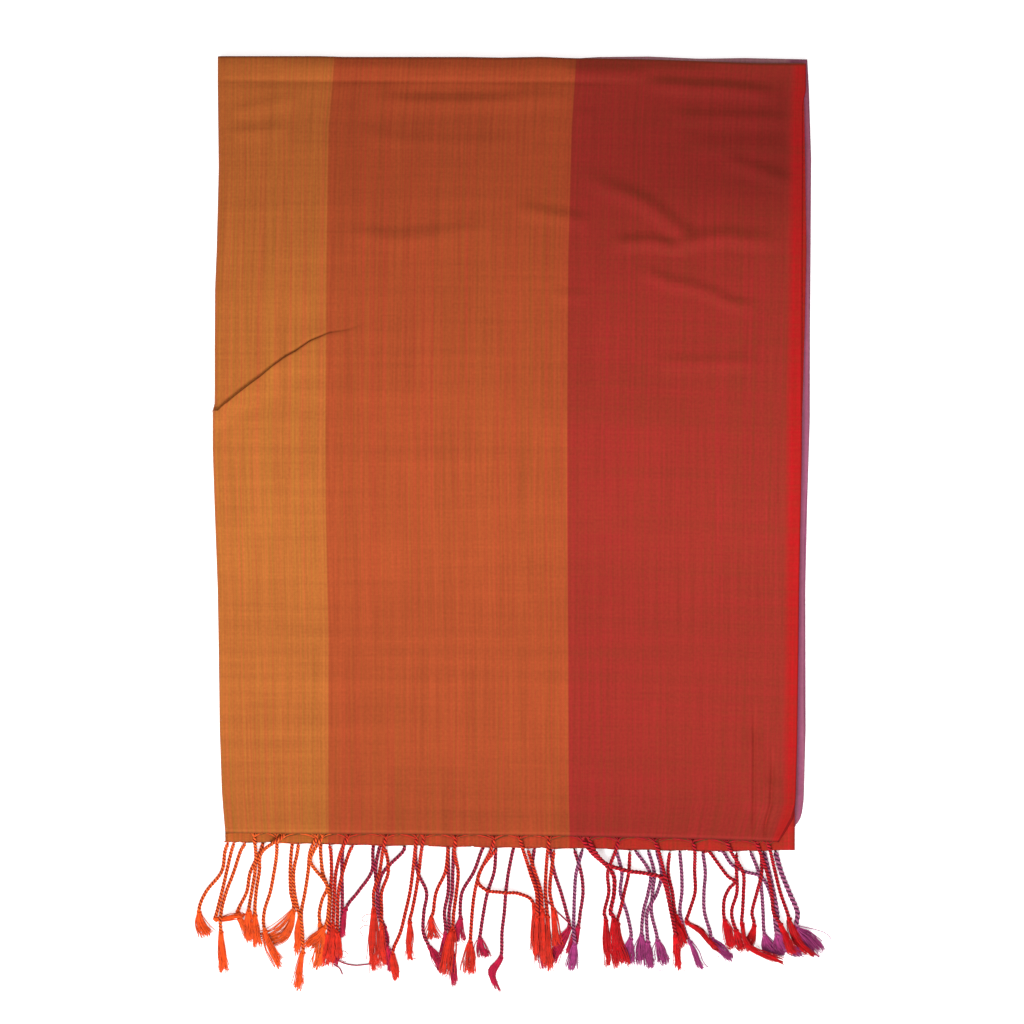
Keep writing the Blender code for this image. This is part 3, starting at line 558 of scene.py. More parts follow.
BAND_END = 474.0            # where the band ends in its own measure
BAND_STRIPES = (dye(177, 91, 40), dye(171, 61, 36), dye(166, 29, 29), dye(184, 21, 33))
BAND_ENDS = (68.0, 212.0, 336.0)
band_cloth = shot_cloth(
    "Second layer cloth", BAND_STRIPES, BAND_ENDS,
    Weave(weft=dye(99, 52, 25), weft_share=0.36, streaks=0.5, patches=0.2, deepening=0.0,
          hem_down=BAND_END, last_thread=NO_EDGE_SHADE))
fraction = np.linspace(0, 1, SECOND_COLUMNS + 1)[None, :]
guess = fraction * SECOND_EDGES[-1].right
covered = HEM_DOWN + read(FRONT_HEM_LINE, guess, "down") + 0.05
rows_hidden = np.linspace(0, 1, SECOND_ROWS + 1)[:, None]
top = SECOND_TOP_INSET + read(FRONT_TOP_LINE, guess, "down")
band_end = HEM_DOWN + read(SECOND_HEM_LINE, guess, "down")
band_share = np.linspace(0, 1, BAND_ROWS + 1)[:, None]
down = np.concatenate([top + rows_hidden * (covered - top),
                       covered + 0.05 + band_share * (band_end - covered - 0.05)])
is_hidden = np.arange(len(down))[:, None] <= SECOND_ROWS
inset = np.where(is_hidden, HIDDEN_INSET, BAND_INSET)
left = read(SECOND_EDGES, down, "left") + inset
across = left + fraction * (read(SECOND_EDGES, down, "right") - left)
lift = CREASE_SHARE * crease_height(CREASES, across, down)
woven_down = np.where(is_hidden, down,
                      HEM_DOWN + (BAND_END - HEM_DOWN) * (down - covered) / (band_end - covered))
second_cloth = cloth_sheet("second_cloth", across, down, SECOND_TOP + lift,
                           np.stack([across, woven_down], axis=-1), band_cloth, WALL)
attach(second_cloth, "root")
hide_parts("second_layer")

# The front layer. The red half of the first end, which shows from the top fold to the front hem.
# It wraps the packet at the left and, with the layer below, at the top. A tuck runs in from the
# left fold, soft creases cross the red stripe, and the selvedge is a bright red strip.
FRONT_TOP = 7.5
LEFT_ROLL = 3.6             # radius of the cloth's turn at the left fold
LEFT_ROLL_END = 150.0       # degrees that it turns
TOP_ROLL = 2.0
TOP_ROLL_END = math.radians(96)
FRONT_EDGES = [
    Edge(0, 2.5, 353.4), Edge(17, 2.5, 353.4), Edge(24, 2.6, 351.6), Edge(67, 3.1, 351.6),
    Edge(115, 1.9, 351.3), Edge(139, 0.9, 351.2), Edge(175, 0.7, 351.1), Edge(207, 0.7, 351.0),
    Edge(211, -0.5, 351.1), Edge(234, -0.5, 350.9), Edge(270, 0.7, 350.2), Edge(318, 2.5, 349.3),
    Edge(353, 3.1, 348.9), Edge(401, 3.7, 348.2), Edge(437, 4.9, 347.3), Edge(448, 5.7, 346.2),
    Edge(456, 6.4, 341.5), Edge(463, 7.0, 337.0)]
# Where each stripe ends, which wanders a little down the cloth
StripeLine = namedtuple("StripeLine", "down ochre_end burnt_end red_end")
STRIPE_LINES = [
    StripeLine(0, 72.1, 216.2, 345.0), StripeLine(15, 71.0, 215.2, 343.5),
    StripeLine(43, 68.5, 213.4, 342.5), StripeLine(119, 67.3, 211.3, 342.0),
    StripeLine(204, 66.8, 210.8, 340.5), StripeLine(264, 66.8, 210.8, 340.0),
    StripeLine(347, 68.5, 211.3, 339.6), StripeLine(440, 68.5, 211.6, 339.0),
    StripeLine(463, 68.5, 212.2, 332.0)]
WOVEN_ENDS = (0.0, *RED_ENDS, 351.0)
# Columns of the sheet: closer on the fine creases that run down near the selvedge
Columns = namedtuple("Columns", "start end count")
WOVEN_COLUMNS = [Columns(0, 68, 40), Columns(68, 212, 56), Columns(212, 318, 56),
                 Columns(318, 341, 30), Columns(341, 351, 8)]
TUCK_LINE = [Sag(0, 211.8), Sag(3.5, 207.9), Sag(10.1, 202.6), Sag(18.2, 196.7), Sag(26.2, 191.1),
             Sag(34, 184.8), Sag(42.1, 179.2), Sag(48.5, 175.9), Sag(58.1, 169.6),
             Sag(64.4, 167.2), Sag(70.1, 164.6), Sag(80.5, 163.0), Sag(89.2, 160.0),
             Sag(110, 157), Sag(360, 156)]
TUCK_HEIGHT = 2.1
TUCK_REACH = 100.0          # across, where the tuck dies out
TUCK_SPREAD = 20.0          # down, over which its lower side levels off
TUCK_OVERHANG = 1.0
TUCK_GROOVE = 0.6           # the cloth sinks this much just above the tuck
TUCK_ROW = 184.0
TUCK_PULL = 80.0
# How far the cloth dips towards the top fold, by the place across
Dip = namedtuple("Dip", "across height")
TOP_DIPS = [Dip(0, 0.5), Dip(190, 0.6), Dip(222, 1.5), Dip(286, 1.5), Dip(304, 0.4), Dip(351, 0.1)]
TOP_DIP_REACH = 6.4
FINE_CREASES = CREASES + [
    Crease([(-20, 13.9), (180, 14.6), (262, 14.6)], 1.7, -0.75),
    Crease([(100, 21), (190, 21)], 4, -0.6),
    Crease([(68, 11), (125, 11)], 3, -0.35),
    Crease([(322.8, 384), (322.2, 474)], 1.0, -1.4),
    Crease([(334, 412), (332.6, 445), (329.4, 457), (328.4, 472)], 1.0, -1.5)]
CORNER_SHADE_WIDENING = 3.2           # how far the painted shadow at the selvedge edge widens at the lower right corner
CORNER_STARTS = (346.0, 438.0)  # across and down
CORNER_REACH = (5.0, 14.0)
ROLL_ROWS = 8

woven = np.unique(np.concatenate([np.linspace(*columns) for columns in WOVEN_COLUMNS]))
roll_angle = np.radians(np.arange(LEFT_ROLL_END, 0, -10.0))
left_angle = np.concatenate([roll_angle, np.zeros(len(woven))])
woven = np.concatenate([np.zeros(len(roll_angle)), woven])
stops = [TOP_ROLL, 4, 6, 8, 10, 11.6, 12.6, 13.6, 14.6, 15.8]
while stops[-1] < TUCK_ROW - 12:
    stops.append(stops[-1] + 2.3)
stops += [TUCK_ROW + step for step in (-10, -7.5, -5, -3.5, -2.2, -1.3, -0.6, -0.15, 0.15, 0.5,
                                       0.9, 1.5, 2.3, 3.5, 5, 7, 9.2)]
while stops[-1] < HEM_DOWN - 2.5:
    stops.append(stops[-1] + 2.4)
stops[-1] = HEM_DOWN
top_angle = np.concatenate([TOP_ROLL_END * np.linspace(1, 1 / ROLL_ROWS, ROLL_ROWS),
                            np.zeros(len(stops))])[:, None]
row = np.concatenate([np.zeros(ROLL_ROWS), stops])[:, None]

left_in = LEFT_ROLL * (1 - np.sin(left_angle))[None, :]
left_drop = LEFT_ROLL * (1 - np.cos(left_angle))[None, :]
opened = smooth(left_drop / LEFT_ROLL)
rolled = TOP_ROLL * (1 - np.sin(top_angle))
flat = TOP_ROLL * (1 - top_angle / TOP_ROLL_END)
on_roll = row < TOP_ROLL
down = np.where(on_roll, rolled + opened * (flat - rolled), row)
top_drop = np.where(on_roll, TOP_ROLL * (1 - np.cos(top_angle)) * (1 - opened), 0.0)

guess = woven[None, :] + 0 * down
pull = np.clip(1 - np.abs(row - TUCK_ROW) / TUCK_PULL, 0, 1) * ~on_roll
down = down + (read(TUCK_LINE, guess, "down") - TUCK_ROW) * pull
left = read(FRONT_EDGES, down, "left")
right = read(FRONT_EDGES, down, "right")
ends = [left + LEFT_ROLL, read(STRIPE_LINES, down, "ochre_end"),
        read(STRIPE_LINES, down, "burnt_end"), read(STRIPE_LINES, down, "red_end"), right]
across = ends[-1].copy()
for n in (3, 2, 1, 0):
    within = (woven[None, :] - WOVEN_ENDS[n]) / (WOVEN_ENDS[n + 1] - WOVEN_ENDS[n])
    across = np.where(within < 1, ends[n] + within * (ends[n + 1] - ends[n]), across)
across = across - LEFT_ROLL * (woven == 0)[None, :] + left_in * (woven == 0)[None, :]
drop = left_drop + top_drop
fade = 1 - smooth(across / TUCK_REACH)
below = row - TUCK_ROW
softness = 0.3 + across / 30
rise = smooth((below + softness / 2) / softness)
tuck = TUCK_HEIGHT * fade * rise * (1 - smooth(below / TUCK_SPREAD))
overhang = TUCK_OVERHANG * fade * smooth((below + 0.3) / 0.6) * (1 - smooth((below - 0.5) / 2.5))
hem_share = down / HEM_DOWN
sag = read(FRONT_TOP_LINE, across, "down") * (1 - hem_share)
sag += read(FRONT_HEM_LINE, across, "down") * hem_share
dip = read(TOP_DIPS, across, "height") * (1 - smooth(down / TOP_DIP_REACH))
groove = TUCK_GROOVE * fade * np.exp(-((below + 1.1) / 0.9) ** 2)
lift = crease_height(FINE_CREASES, across, down + sag) + tuck - dip - groove
z = FRONT_TOP - drop + lift * np.clip(1 - drop / LEFT_ROLL, 0, 1)
uv = np.stack(np.broadcast_arrays(woven[None, :] + 0.0, down), axis=-1)
uv[..., 0] -= (left_angle * LEFT_ROLL)[None, :]
# The UV across is pushed out at the lower right corner so that the painted shadow at the selvedge
# edge widens there
in_corner = [smooth((spot - start) / reach)
             for spot, start, reach in zip((woven[None, :], down), CORNER_STARTS, CORNER_REACH)]
uv[..., 0] += CORNER_SHADE_WIDENING * in_corner[0] * in_corner[1]
# The front cloth takes the full painted shade down its length, and a painted shadow along its
# selvedge edge
front_mat = shot_cloth(
    "Front layer cloth", RED_STRIPES, RED_ENDS,
    Weave(weft=dye(107, 53, 25), weft_share=0.3, streaks=0.33, patches=0.16, deepening=1.0,
          hem_down=HEM_DOWN, last_thread=350.8))
front_cloth = cloth_sheet("front_cloth", across, down + sag - overhang, z, uv, front_mat, WALL)
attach(front_cloth, "root")
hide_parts("front_layer")

# The fringes. The warp left at each end, gathered in locks, twisted into two-ply cords, knotted,
# and left loose below the knot as a small tassel. They lie tangled over each other on the floor.
STRIP = 2.5                 # of cloth along the hem, under which a cord begins
CORD = 2.0                  # how much room a cord takes when it is laid
PLY_RADIUS = 0.7
PLY_OFFSET = 0.56           # a ply's middle from the cord's
TWIST_PITCH = 4.2           # one full turn of the twist
TWIST_STEPS = 9             # rings of a ply to a turn
CORD_OVER_FLOOR = 0.1
ROOT_SHARE = 0.4            # how thick a cord is where it leaves the hem
ROOT_TAPER = 2.5            # a cord thickens over this much from the hem
KNOT_WIDTH = 3.6
KNOT_HEIGHT = 2.9
KNOT_PRESSED = (0.62, 0.6, 0.75)  # a knot along its cord, across it and up
KNOT_RADIUS = 0.75
NECK = 2.6                  # how far a knot reaches along the cord
TASSEL_NECK = 2.5
TASSEL_HEIGHT = 2.2
TIP_HEIGHT = 1.4
SAMPLE = 0.8                # one point of a route to the next
SLOPE = 0.6                 # the steepest that a strand falls from one below it
MEETS = 0.8                 # strands lie over each other within this share of their half widths
SINKS = 0.85                # how far a strand settles into the one below it
PRESSED = 0.9               # the top of a strand, as a share of its half height
END_RADIUS = 0.3            # of a few warp ends together
END_SHARES = (0.16, 0.36, 0.58, 0.8, 1.0)  # how far along the gap each of them starts
TASSEL_FLARE = 1.25         # the fibres fan out to this many times the spread
TUFTS = 6                   # tufts of fibres that lie together in a tassel
FIBRES = 56
FIBRE_RADIUS = 0.36
STRAY_EVERY = 11            # one fibre in so many strays from its tuft
STRAY = 1.7                 # by this much more than the others
HAIRS = 4                   # curly hairs on each tassel
HAIR_RADIUS = 0.13
UP = (0.0, 0.0, 1.0)
LOWEST = 0.03               # nothing dips below this height over the floor
GATHER_REACH = 13.0         # how far along a hem a cord draws its ends in from

# path holds the place across of a cord every 12 mm below the line of the front hem, the first at
# its root, or a place across and a depth where the cord turns sharply. knot, via and end hold a
# place across and a depth: the knot, a bend of the tassel where it has one, and the tassel's tip.
# spread is the tassel's width at the tip, thick how much thicker than the others the cord is.
STATION = 12.0
Strand = namedtuple("Strand", "path knot via end spread thick", defaults=(1.0,))
FRONT_STRANDS = [
    Strand((24.4, 25.3, 24.6, 22.6), (21.0, 47), None, (21.5, 64), 5),
    Strand((38.1, 37.8, 36.0, 33.7, 30.1), (30.7, 59), None, (39.9, 80), 5.5),
    Strand((42.0, 28.8, 27.2, 25.3), (24.6, 50), None, (26.8, 68), 5),
    Strand((62.0, 57.6, 56.3, 54.5, 52.4, 53.0), (53.3, 72), None, (50.7, 94), 6),
    Strand((65.4, (60.2, 10.5), (57.8, 16.6), (60.8, 22.6), (65.6, 28.0), (68.8, 35.0),
            (68.6, 46.0)), (66.2, 57), None, (55.2, 69), 6),
    Strand((80.5, 76.0, 73.0, 72.1, 71.6), (71.2, 56), None, (70.3, 79), 5),
    Strand((103.0, 101.0, 99.0, 95.6), (95.6, 46), None, (95.4, 83), 7),
    Strand((121.4, 120.2, 118.8, 117.2, 114.5, 111.5), (106.7, 73), None, (109.0, 88), 3.5),
    Strand((125.5, 124.0, 122.5, 120.7, 118.3), (117.0, 54), None, (116.5, 76), 5),
    Strand((144.6, 144.0, 146.0, 145.0, 143.4), (142.6, 58), None, (139.0, 85), 6),
    Strand((167.9, 165.0, 159.0, 155.9, 154.4, 153.6), (153.2, 66), None, (152.0, 85), 7),
    Strand((182.7, 185.4, 189.0, 192.8), (193.2, 50), None, (193.4, 77), 4.5),
    Strand((200.3, 199.4, 198.5, 198.2), (199.4, 51), None, (201.0, 83), 5),
    Strand((220.2, 226.2, 238.0, 239.2, 237.0), (239.0, 52), None, (241.0, 80), 5, 1.2),
    Strand((224.0, (227.2, 10.5), (234.1, 18.6), (246.8, 22.9), (260.0, 24.9), (267.6, 27.0),
            (270.2, 33.0), (271.9, 40.5), (273.4, 48)), (275.2, 55), None, (281.0, 68), 5, 1.15),
    Strand((241.7, 239.6, 235.4, 236.0, 233.3), (234.2, 53), None, (235.6, 80), 5),
    Strand((263.2, 266.1, 269.1, 271.6, 273.3), (275.6, 62), None, (277.6, 83), 4.5),
    Strand((286.0, 287.3, 287.3, 287.6, 284.0), (282.8, 54), (291.0, 60), (301.0, 71), 4),
    Strand((306.3, 309.3, 316.2, 316.5, 315.9), (315.6, 55), (319.0, 69), (340.9, 78), 4),
    Strand((324.0, 326.3, 330.5, 333.2, 334.4), (338.5, 55), None, (346.9, 73), 5),
    Strand((330.7, 332.6, 335.5, 338.5, 342.7), (343.9, 52), (348.7, 64), (358.2, 74), 5)]
SECOND_STRANDS = [
    Strand((8.6, 6.6, 4.5, -4.8), (-8.9, 48), None, (-4.6, 62.5), 11),
    Strand((12.2, 10.4, 7.6, 4.8, 1.8), (1.2, 52), (8.0, 52), (19.4, 48.5), 4.5),
    Strand((18.9, 15.8, 11.9, 7.4, 4.4), (4.2, 60), None, (6.0, 83), 4.5),
    Strand((50.7, 50.0, 47.7, 48.2, 50.7), (51.3, 51), None, (50.7, 73), 5),
    Strand((69.4, 70.0, 70.3, 69.8, 69.2), (68.6, 61), None, (67.0, 80), 4.5),
    Strand((83.1, 81.0, 77.1, 74.5, 74.0), (73.8, 60), None, (74.6, 75), 5),
    Strand((101.0, 103.0, 104.3, 100.3, 100.3), (100.2, 56), None, (100.4, 81), 5),
    Strand((140.0, 139.8, 138.3, 132.9, 131.1), (129.9, 52), None, (131.7, 64), 8),
    Strand((169.0, 164.5, (160.4, 21.0), (157.8, 29.4), (163.0, 34.6), (172.0, 36.0),
            (183.0, 37.0)), (191.4, 44), None, (191.4, 71), 4),
    Strand((187.7, 188.3, 192.0, 195.6), (196.2, 46), None, (197.4, 79), 4.5),
    Strand((203.4, 203.0, 201.6, 200.8), (202.6, 46), None, (205.0, 68), 4.5),
    Strand((248.5, 248.8, 248.0, 245.3, 242.6), (241.4, 55), None, (246.0, 79), 5),
    Strand((272.4, 271.5, 271.5, 274.0), (276.0, 50), None, (281.0, 64), 5),
    Strand((293.0, (295.6, 11.0), (301.3, 18.7), (307.2, 26.4), (311.6, 29.6), (308.0, 33.8),
            (305.2, 39.8), (304.6, 46.5)), (305.4, 53), None, (310.4, 69), 6.5),
    Strand((312.3, 312.0, 312.3, 312.6, 309.4), (312.2, 59), None, (318.0, 71.5), 7.5),
    Strand((327.2, 327.8, 327.2, 324.6, 321.6), (322.8, 56), None, (318.0, 69), 7)]
BACK_STRANDS = [
    Strand((29.4, 27.6, 21.8, 19.6), (14.3, 48), (17.5, 57), (24.0, 66), 5),
    Strand((47.0, 46.3, 45.6, 46.0), (47.6, 47), (40.8, 60.5), (29.5, 65.5), 13),
    Strand((64.0, 63.8, (65.0, 24.0), (67.8, 33.0), (64.9, 40.0), (63.0, 48.5)), (63.4, 55.5),
           (63.6, 68), (59.4, 83), 8),
    Strand((77.5, 76.9, 76.5, 76.8, 76.6, 75.8), (74.4, 68), None, (73.2, 79), 3.5),
    Strand((95.4, 95.0, 94.2, 86.0), (78.8, 46), None, (77.2, 62), 4),
    Strand((99.7, 98.3, 96.6, 97.9, 98.8), (102.0, 57), None, (104.4, 70), 4),
    Strand((113.8, 112.8, 101.3, 98.0, 98.4, 101.6), (103.0, 68), None, (105.6, 83), 3.5),
    Strand((121.2, 120.4, 121.9, 127.1, 125.5, 125.2), (129.0, 69), None, (135.3, 83), 7),
    Strand((140.0, 140.0, 140.2, 140.0, 137.8), (138.4, 61), None, (134.7, 83), 6),
    Strand((143.6, 143.2, 142.8, 142.4, 140.6, 140.8), (141.4, 67), None, (144.2, 91), 5),
    Strand((161.3, 159.7, 155.3, 148.4, 147.2), (147.4, 52), None, (146.4, 66), 7),
    Strand((168.5, 168.4, 167.5, 163.6, 161.2, 159.4), (159.1, 64), None, (160.9, 75), 7),
    Strand((179.4, 178.5, 176.1, 174.5, 173.6, 172.2), (171.5, 75), (166.0, 84), (169.3, 94), 4),
    Strand((191.7, 191.3, 190.2, 194.2), (194.8, 48), None, (197.3, 80), 6),
    Strand((201.4, 201.4, 203.5, 207.4, 210.7), (212.4, 57), (207.4, 66), (201.4, 79), 6),
    Strand((215.2, 216.0, 219.4, 220.6, 219.0), (217.6, 57), None, (212.0, 74), 5),
    Strand((220.5, 219.6, 216.6, 215.6, 215.2, 215.0), (215.4, 67), None, (213.0, 83), 7),
    Strand((240.2, 240.5, 243.8, 242.9, 246.7, 249.3), (249.1, 64), None, (249.1, 79), 9),
    Strand((251.3, 252.7, 260.6, 259.6, 256.6, 255.6), (255.6, 62), None, (256.4, 80), 9),
    Strand((259.3, 261.6, 263.2, 262.2, 261.5, 264.3), (265.2, 65), None, (267.8, 79), 9),
    Strand((264.2, 265.4, 267.6, 265.0, 259.0), (259.4, 66), None, (261.4, 81), 5),
    Strand((278.3, 278.5, 279.5, 279.7, 278.6, 281.9), (284.6, 66), None, (291.4, 82), 5),
    Strand((292.0, 292.2, 293.7, 292.9, 293.2, 296.8), (297.6, 64), None, (310.5, 76), 5),
    Strand((301.0, (304.2, 11.5), (309.6, 19.4), (317.6, 23.6), (326.8, 26.4), (331.6, 34.0),
            (334.4, 45.0)), (336.4, 62), None, (341.4, 74), 8),
    Strand((320.4, 321.2, 325.6, 327.4, 328.2, 328.8), (329.2, 62), None, (334.6, 74.5), 9),
    Strand((328.4, 329.0, 331.7, 334.4, 336.5, 337.3), (337.6, 61), (343.4, 69.0), (351.6, 74),
           8, 1.3),
    Strand((335.5, 335.9, 339.1, 343.9, 348.8), (348.3, 57), (355.0, 63.0), (363.2, 72), 12, 1.35)]


def run_along(points):
    """How far along a route each of its points is."""
    return np.concatenate([[0.0], np.cumsum(np.linalg.norm(np.diff(points, axis=0), axis=1))])


def at_runs(stops, runs, points):
    """The places on a route at some runs along it."""
    return np.stack([np.interp(stops, runs, column) for column in points.T], axis=-1)


def unit(vectors):
    """The same vectors one long."""
    return vectors / np.maximum(np.linalg.norm(vectors, axis=1), 1e-9)[:, None]


def smooth_route(points):
    """A smooth curve through route points, sampled closely."""
    ends = [2 * points[0] - points[1]] + points + [2 * points[-1] - points[-2]]
    samples = []
    for before, start, end, after in zip(ends, ends[1:], ends[2:], ends[3:]):
        steps = max(2, int(round(np.linalg.norm(end - start) / SAMPLE)))
        t = np.arange(steps)[:, None] / steps
        samples.append(0.5 * (2 * start + (end - before) * t
                              + (2 * before - 5 * start + 4 * end - after) * t ** 2
                              + (3 * start - before - 3 * end + after) * t ** 3))
    return np.concatenate(samples + [points[-1][None, :]])


def strand_plan(strand, hem_line, lift):
    """Sampled route of a strand in plan, the run along it, and the run to its knot."""
    root = strand.path[0]
    root_depth = float(read(hem_line, root, "down")) - lift - STRIP / 2
    cord = [np.array([root, root_depth]), np.array([root, root_depth + NECK])]
    for k, stop in enumerate(strand.path[1:], 1):
        if isinstance(stop, tuple):
            cord.append(np.array(stop))
        elif root_depth + 2 * NECK < k * STATION < strand.knot[1] - NECK:
            cord.append(np.array([stop, k * STATION]))
    cord.append(np.array(strand.knot, float))
    tassel = [np.array(point, float) for point in (strand.via, strand.end) if point]
    route = smooth_route(cord + tassel)
    runs = run_along(route)
    knot = int(np.argmin(np.hypot(*(route - cord[-1]).T)))
    return route, runs, runs[knot]


def half_sizes(runs, knot_run, spread):
    """Half the width and height of a strand all along it."""
    from_knot = runs - knot_run
    knot = smooth(1 - np.abs(from_knot) / NECK)
    share = np.clip((from_knot - NECK) / (runs[-1] - knot_run - NECK), 0, 1)
    tassel_width = TASSEL_NECK + np.sin(share * math.pi / 2) * (spread - TASSEL_NECK)
    tassel_height = TASSEL_HEIGHT + share * (TIP_HEIGHT - TASSEL_HEIGHT)
    loose = from_knot > NECK
    width = np.where(loose, tassel_width, CORD + knot * (KNOT_WIDTH - CORD))
    height = np.where(loose, tassel_height, CORD + knot * (KNOT_HEIGHT - CORD))
    return width / 2, height / 2


def lay_strand(strand, hem_line, lift, root_height, ledge, laid):
    """The route of one strand laid on the floor, the ledge of cloth and the strands below it."""
    route, runs, knot_run = strand_plan(strand, hem_line, lift)
    half_width, half_height = half_sizes(runs, knot_run, strand.spread)
    needed = CORD_OVER_FLOOR + half_height
    if ledge:
        over_ledge = route[:, 1] < read(SECOND_HEM_LINE, route[:, 0], "down") + CORD / 2
        needed = np.where(over_ledge, ledge + half_height, needed)
    if laid:
        under = np.concatenate(laid)
        apart = np.hypot(route[:, None, 0] - under[None, :, 0],
                         route[:, None, 1] - under[None, :, 1])
        meets = apart < MEETS * (half_width[:, None] + under[None, :, 2])
        tops = np.where(meets, under[None, :, 3], 0.0).max(axis=1)
        needed = np.maximum(needed, np.where(tops > 0, tops + SINKS * half_height, 0.0))
    needed[0] = root_height
    falls = np.abs(runs[:, None] - runs[None, :]) * SLOPE
    heights = np.maximum(needed, (needed[None, :] - falls).max(axis=1))
    heights[0] = root_height
    padded = np.concatenate([np.full(3, heights[0]), heights, np.full(3, heights[-1])])
    heights = np.convolve(padded, np.ones(7) / 7, mode="valid")
    laid.append(np.column_stack([route, half_width, heights + PRESSED * half_height]))
    return np.column_stack([route, heights]), runs, knot_run


def frame_along(points):
    """Unit vectors along a route, to its side and up from it."""
    ahead = unit(np.gradient(points, axis=0))
    side = unit(np.cross(ahead, UP))
    return ahead, side, np.cross(side, ahead)


def resampled(points, step):
    """The same route with its points an even step apart."""
    runs = run_along(points)
    stops = np.linspace(0, runs[-1], max(3, int(round(runs[-1] / step)) + 1))
    return at_runs(stops, runs, points), stops


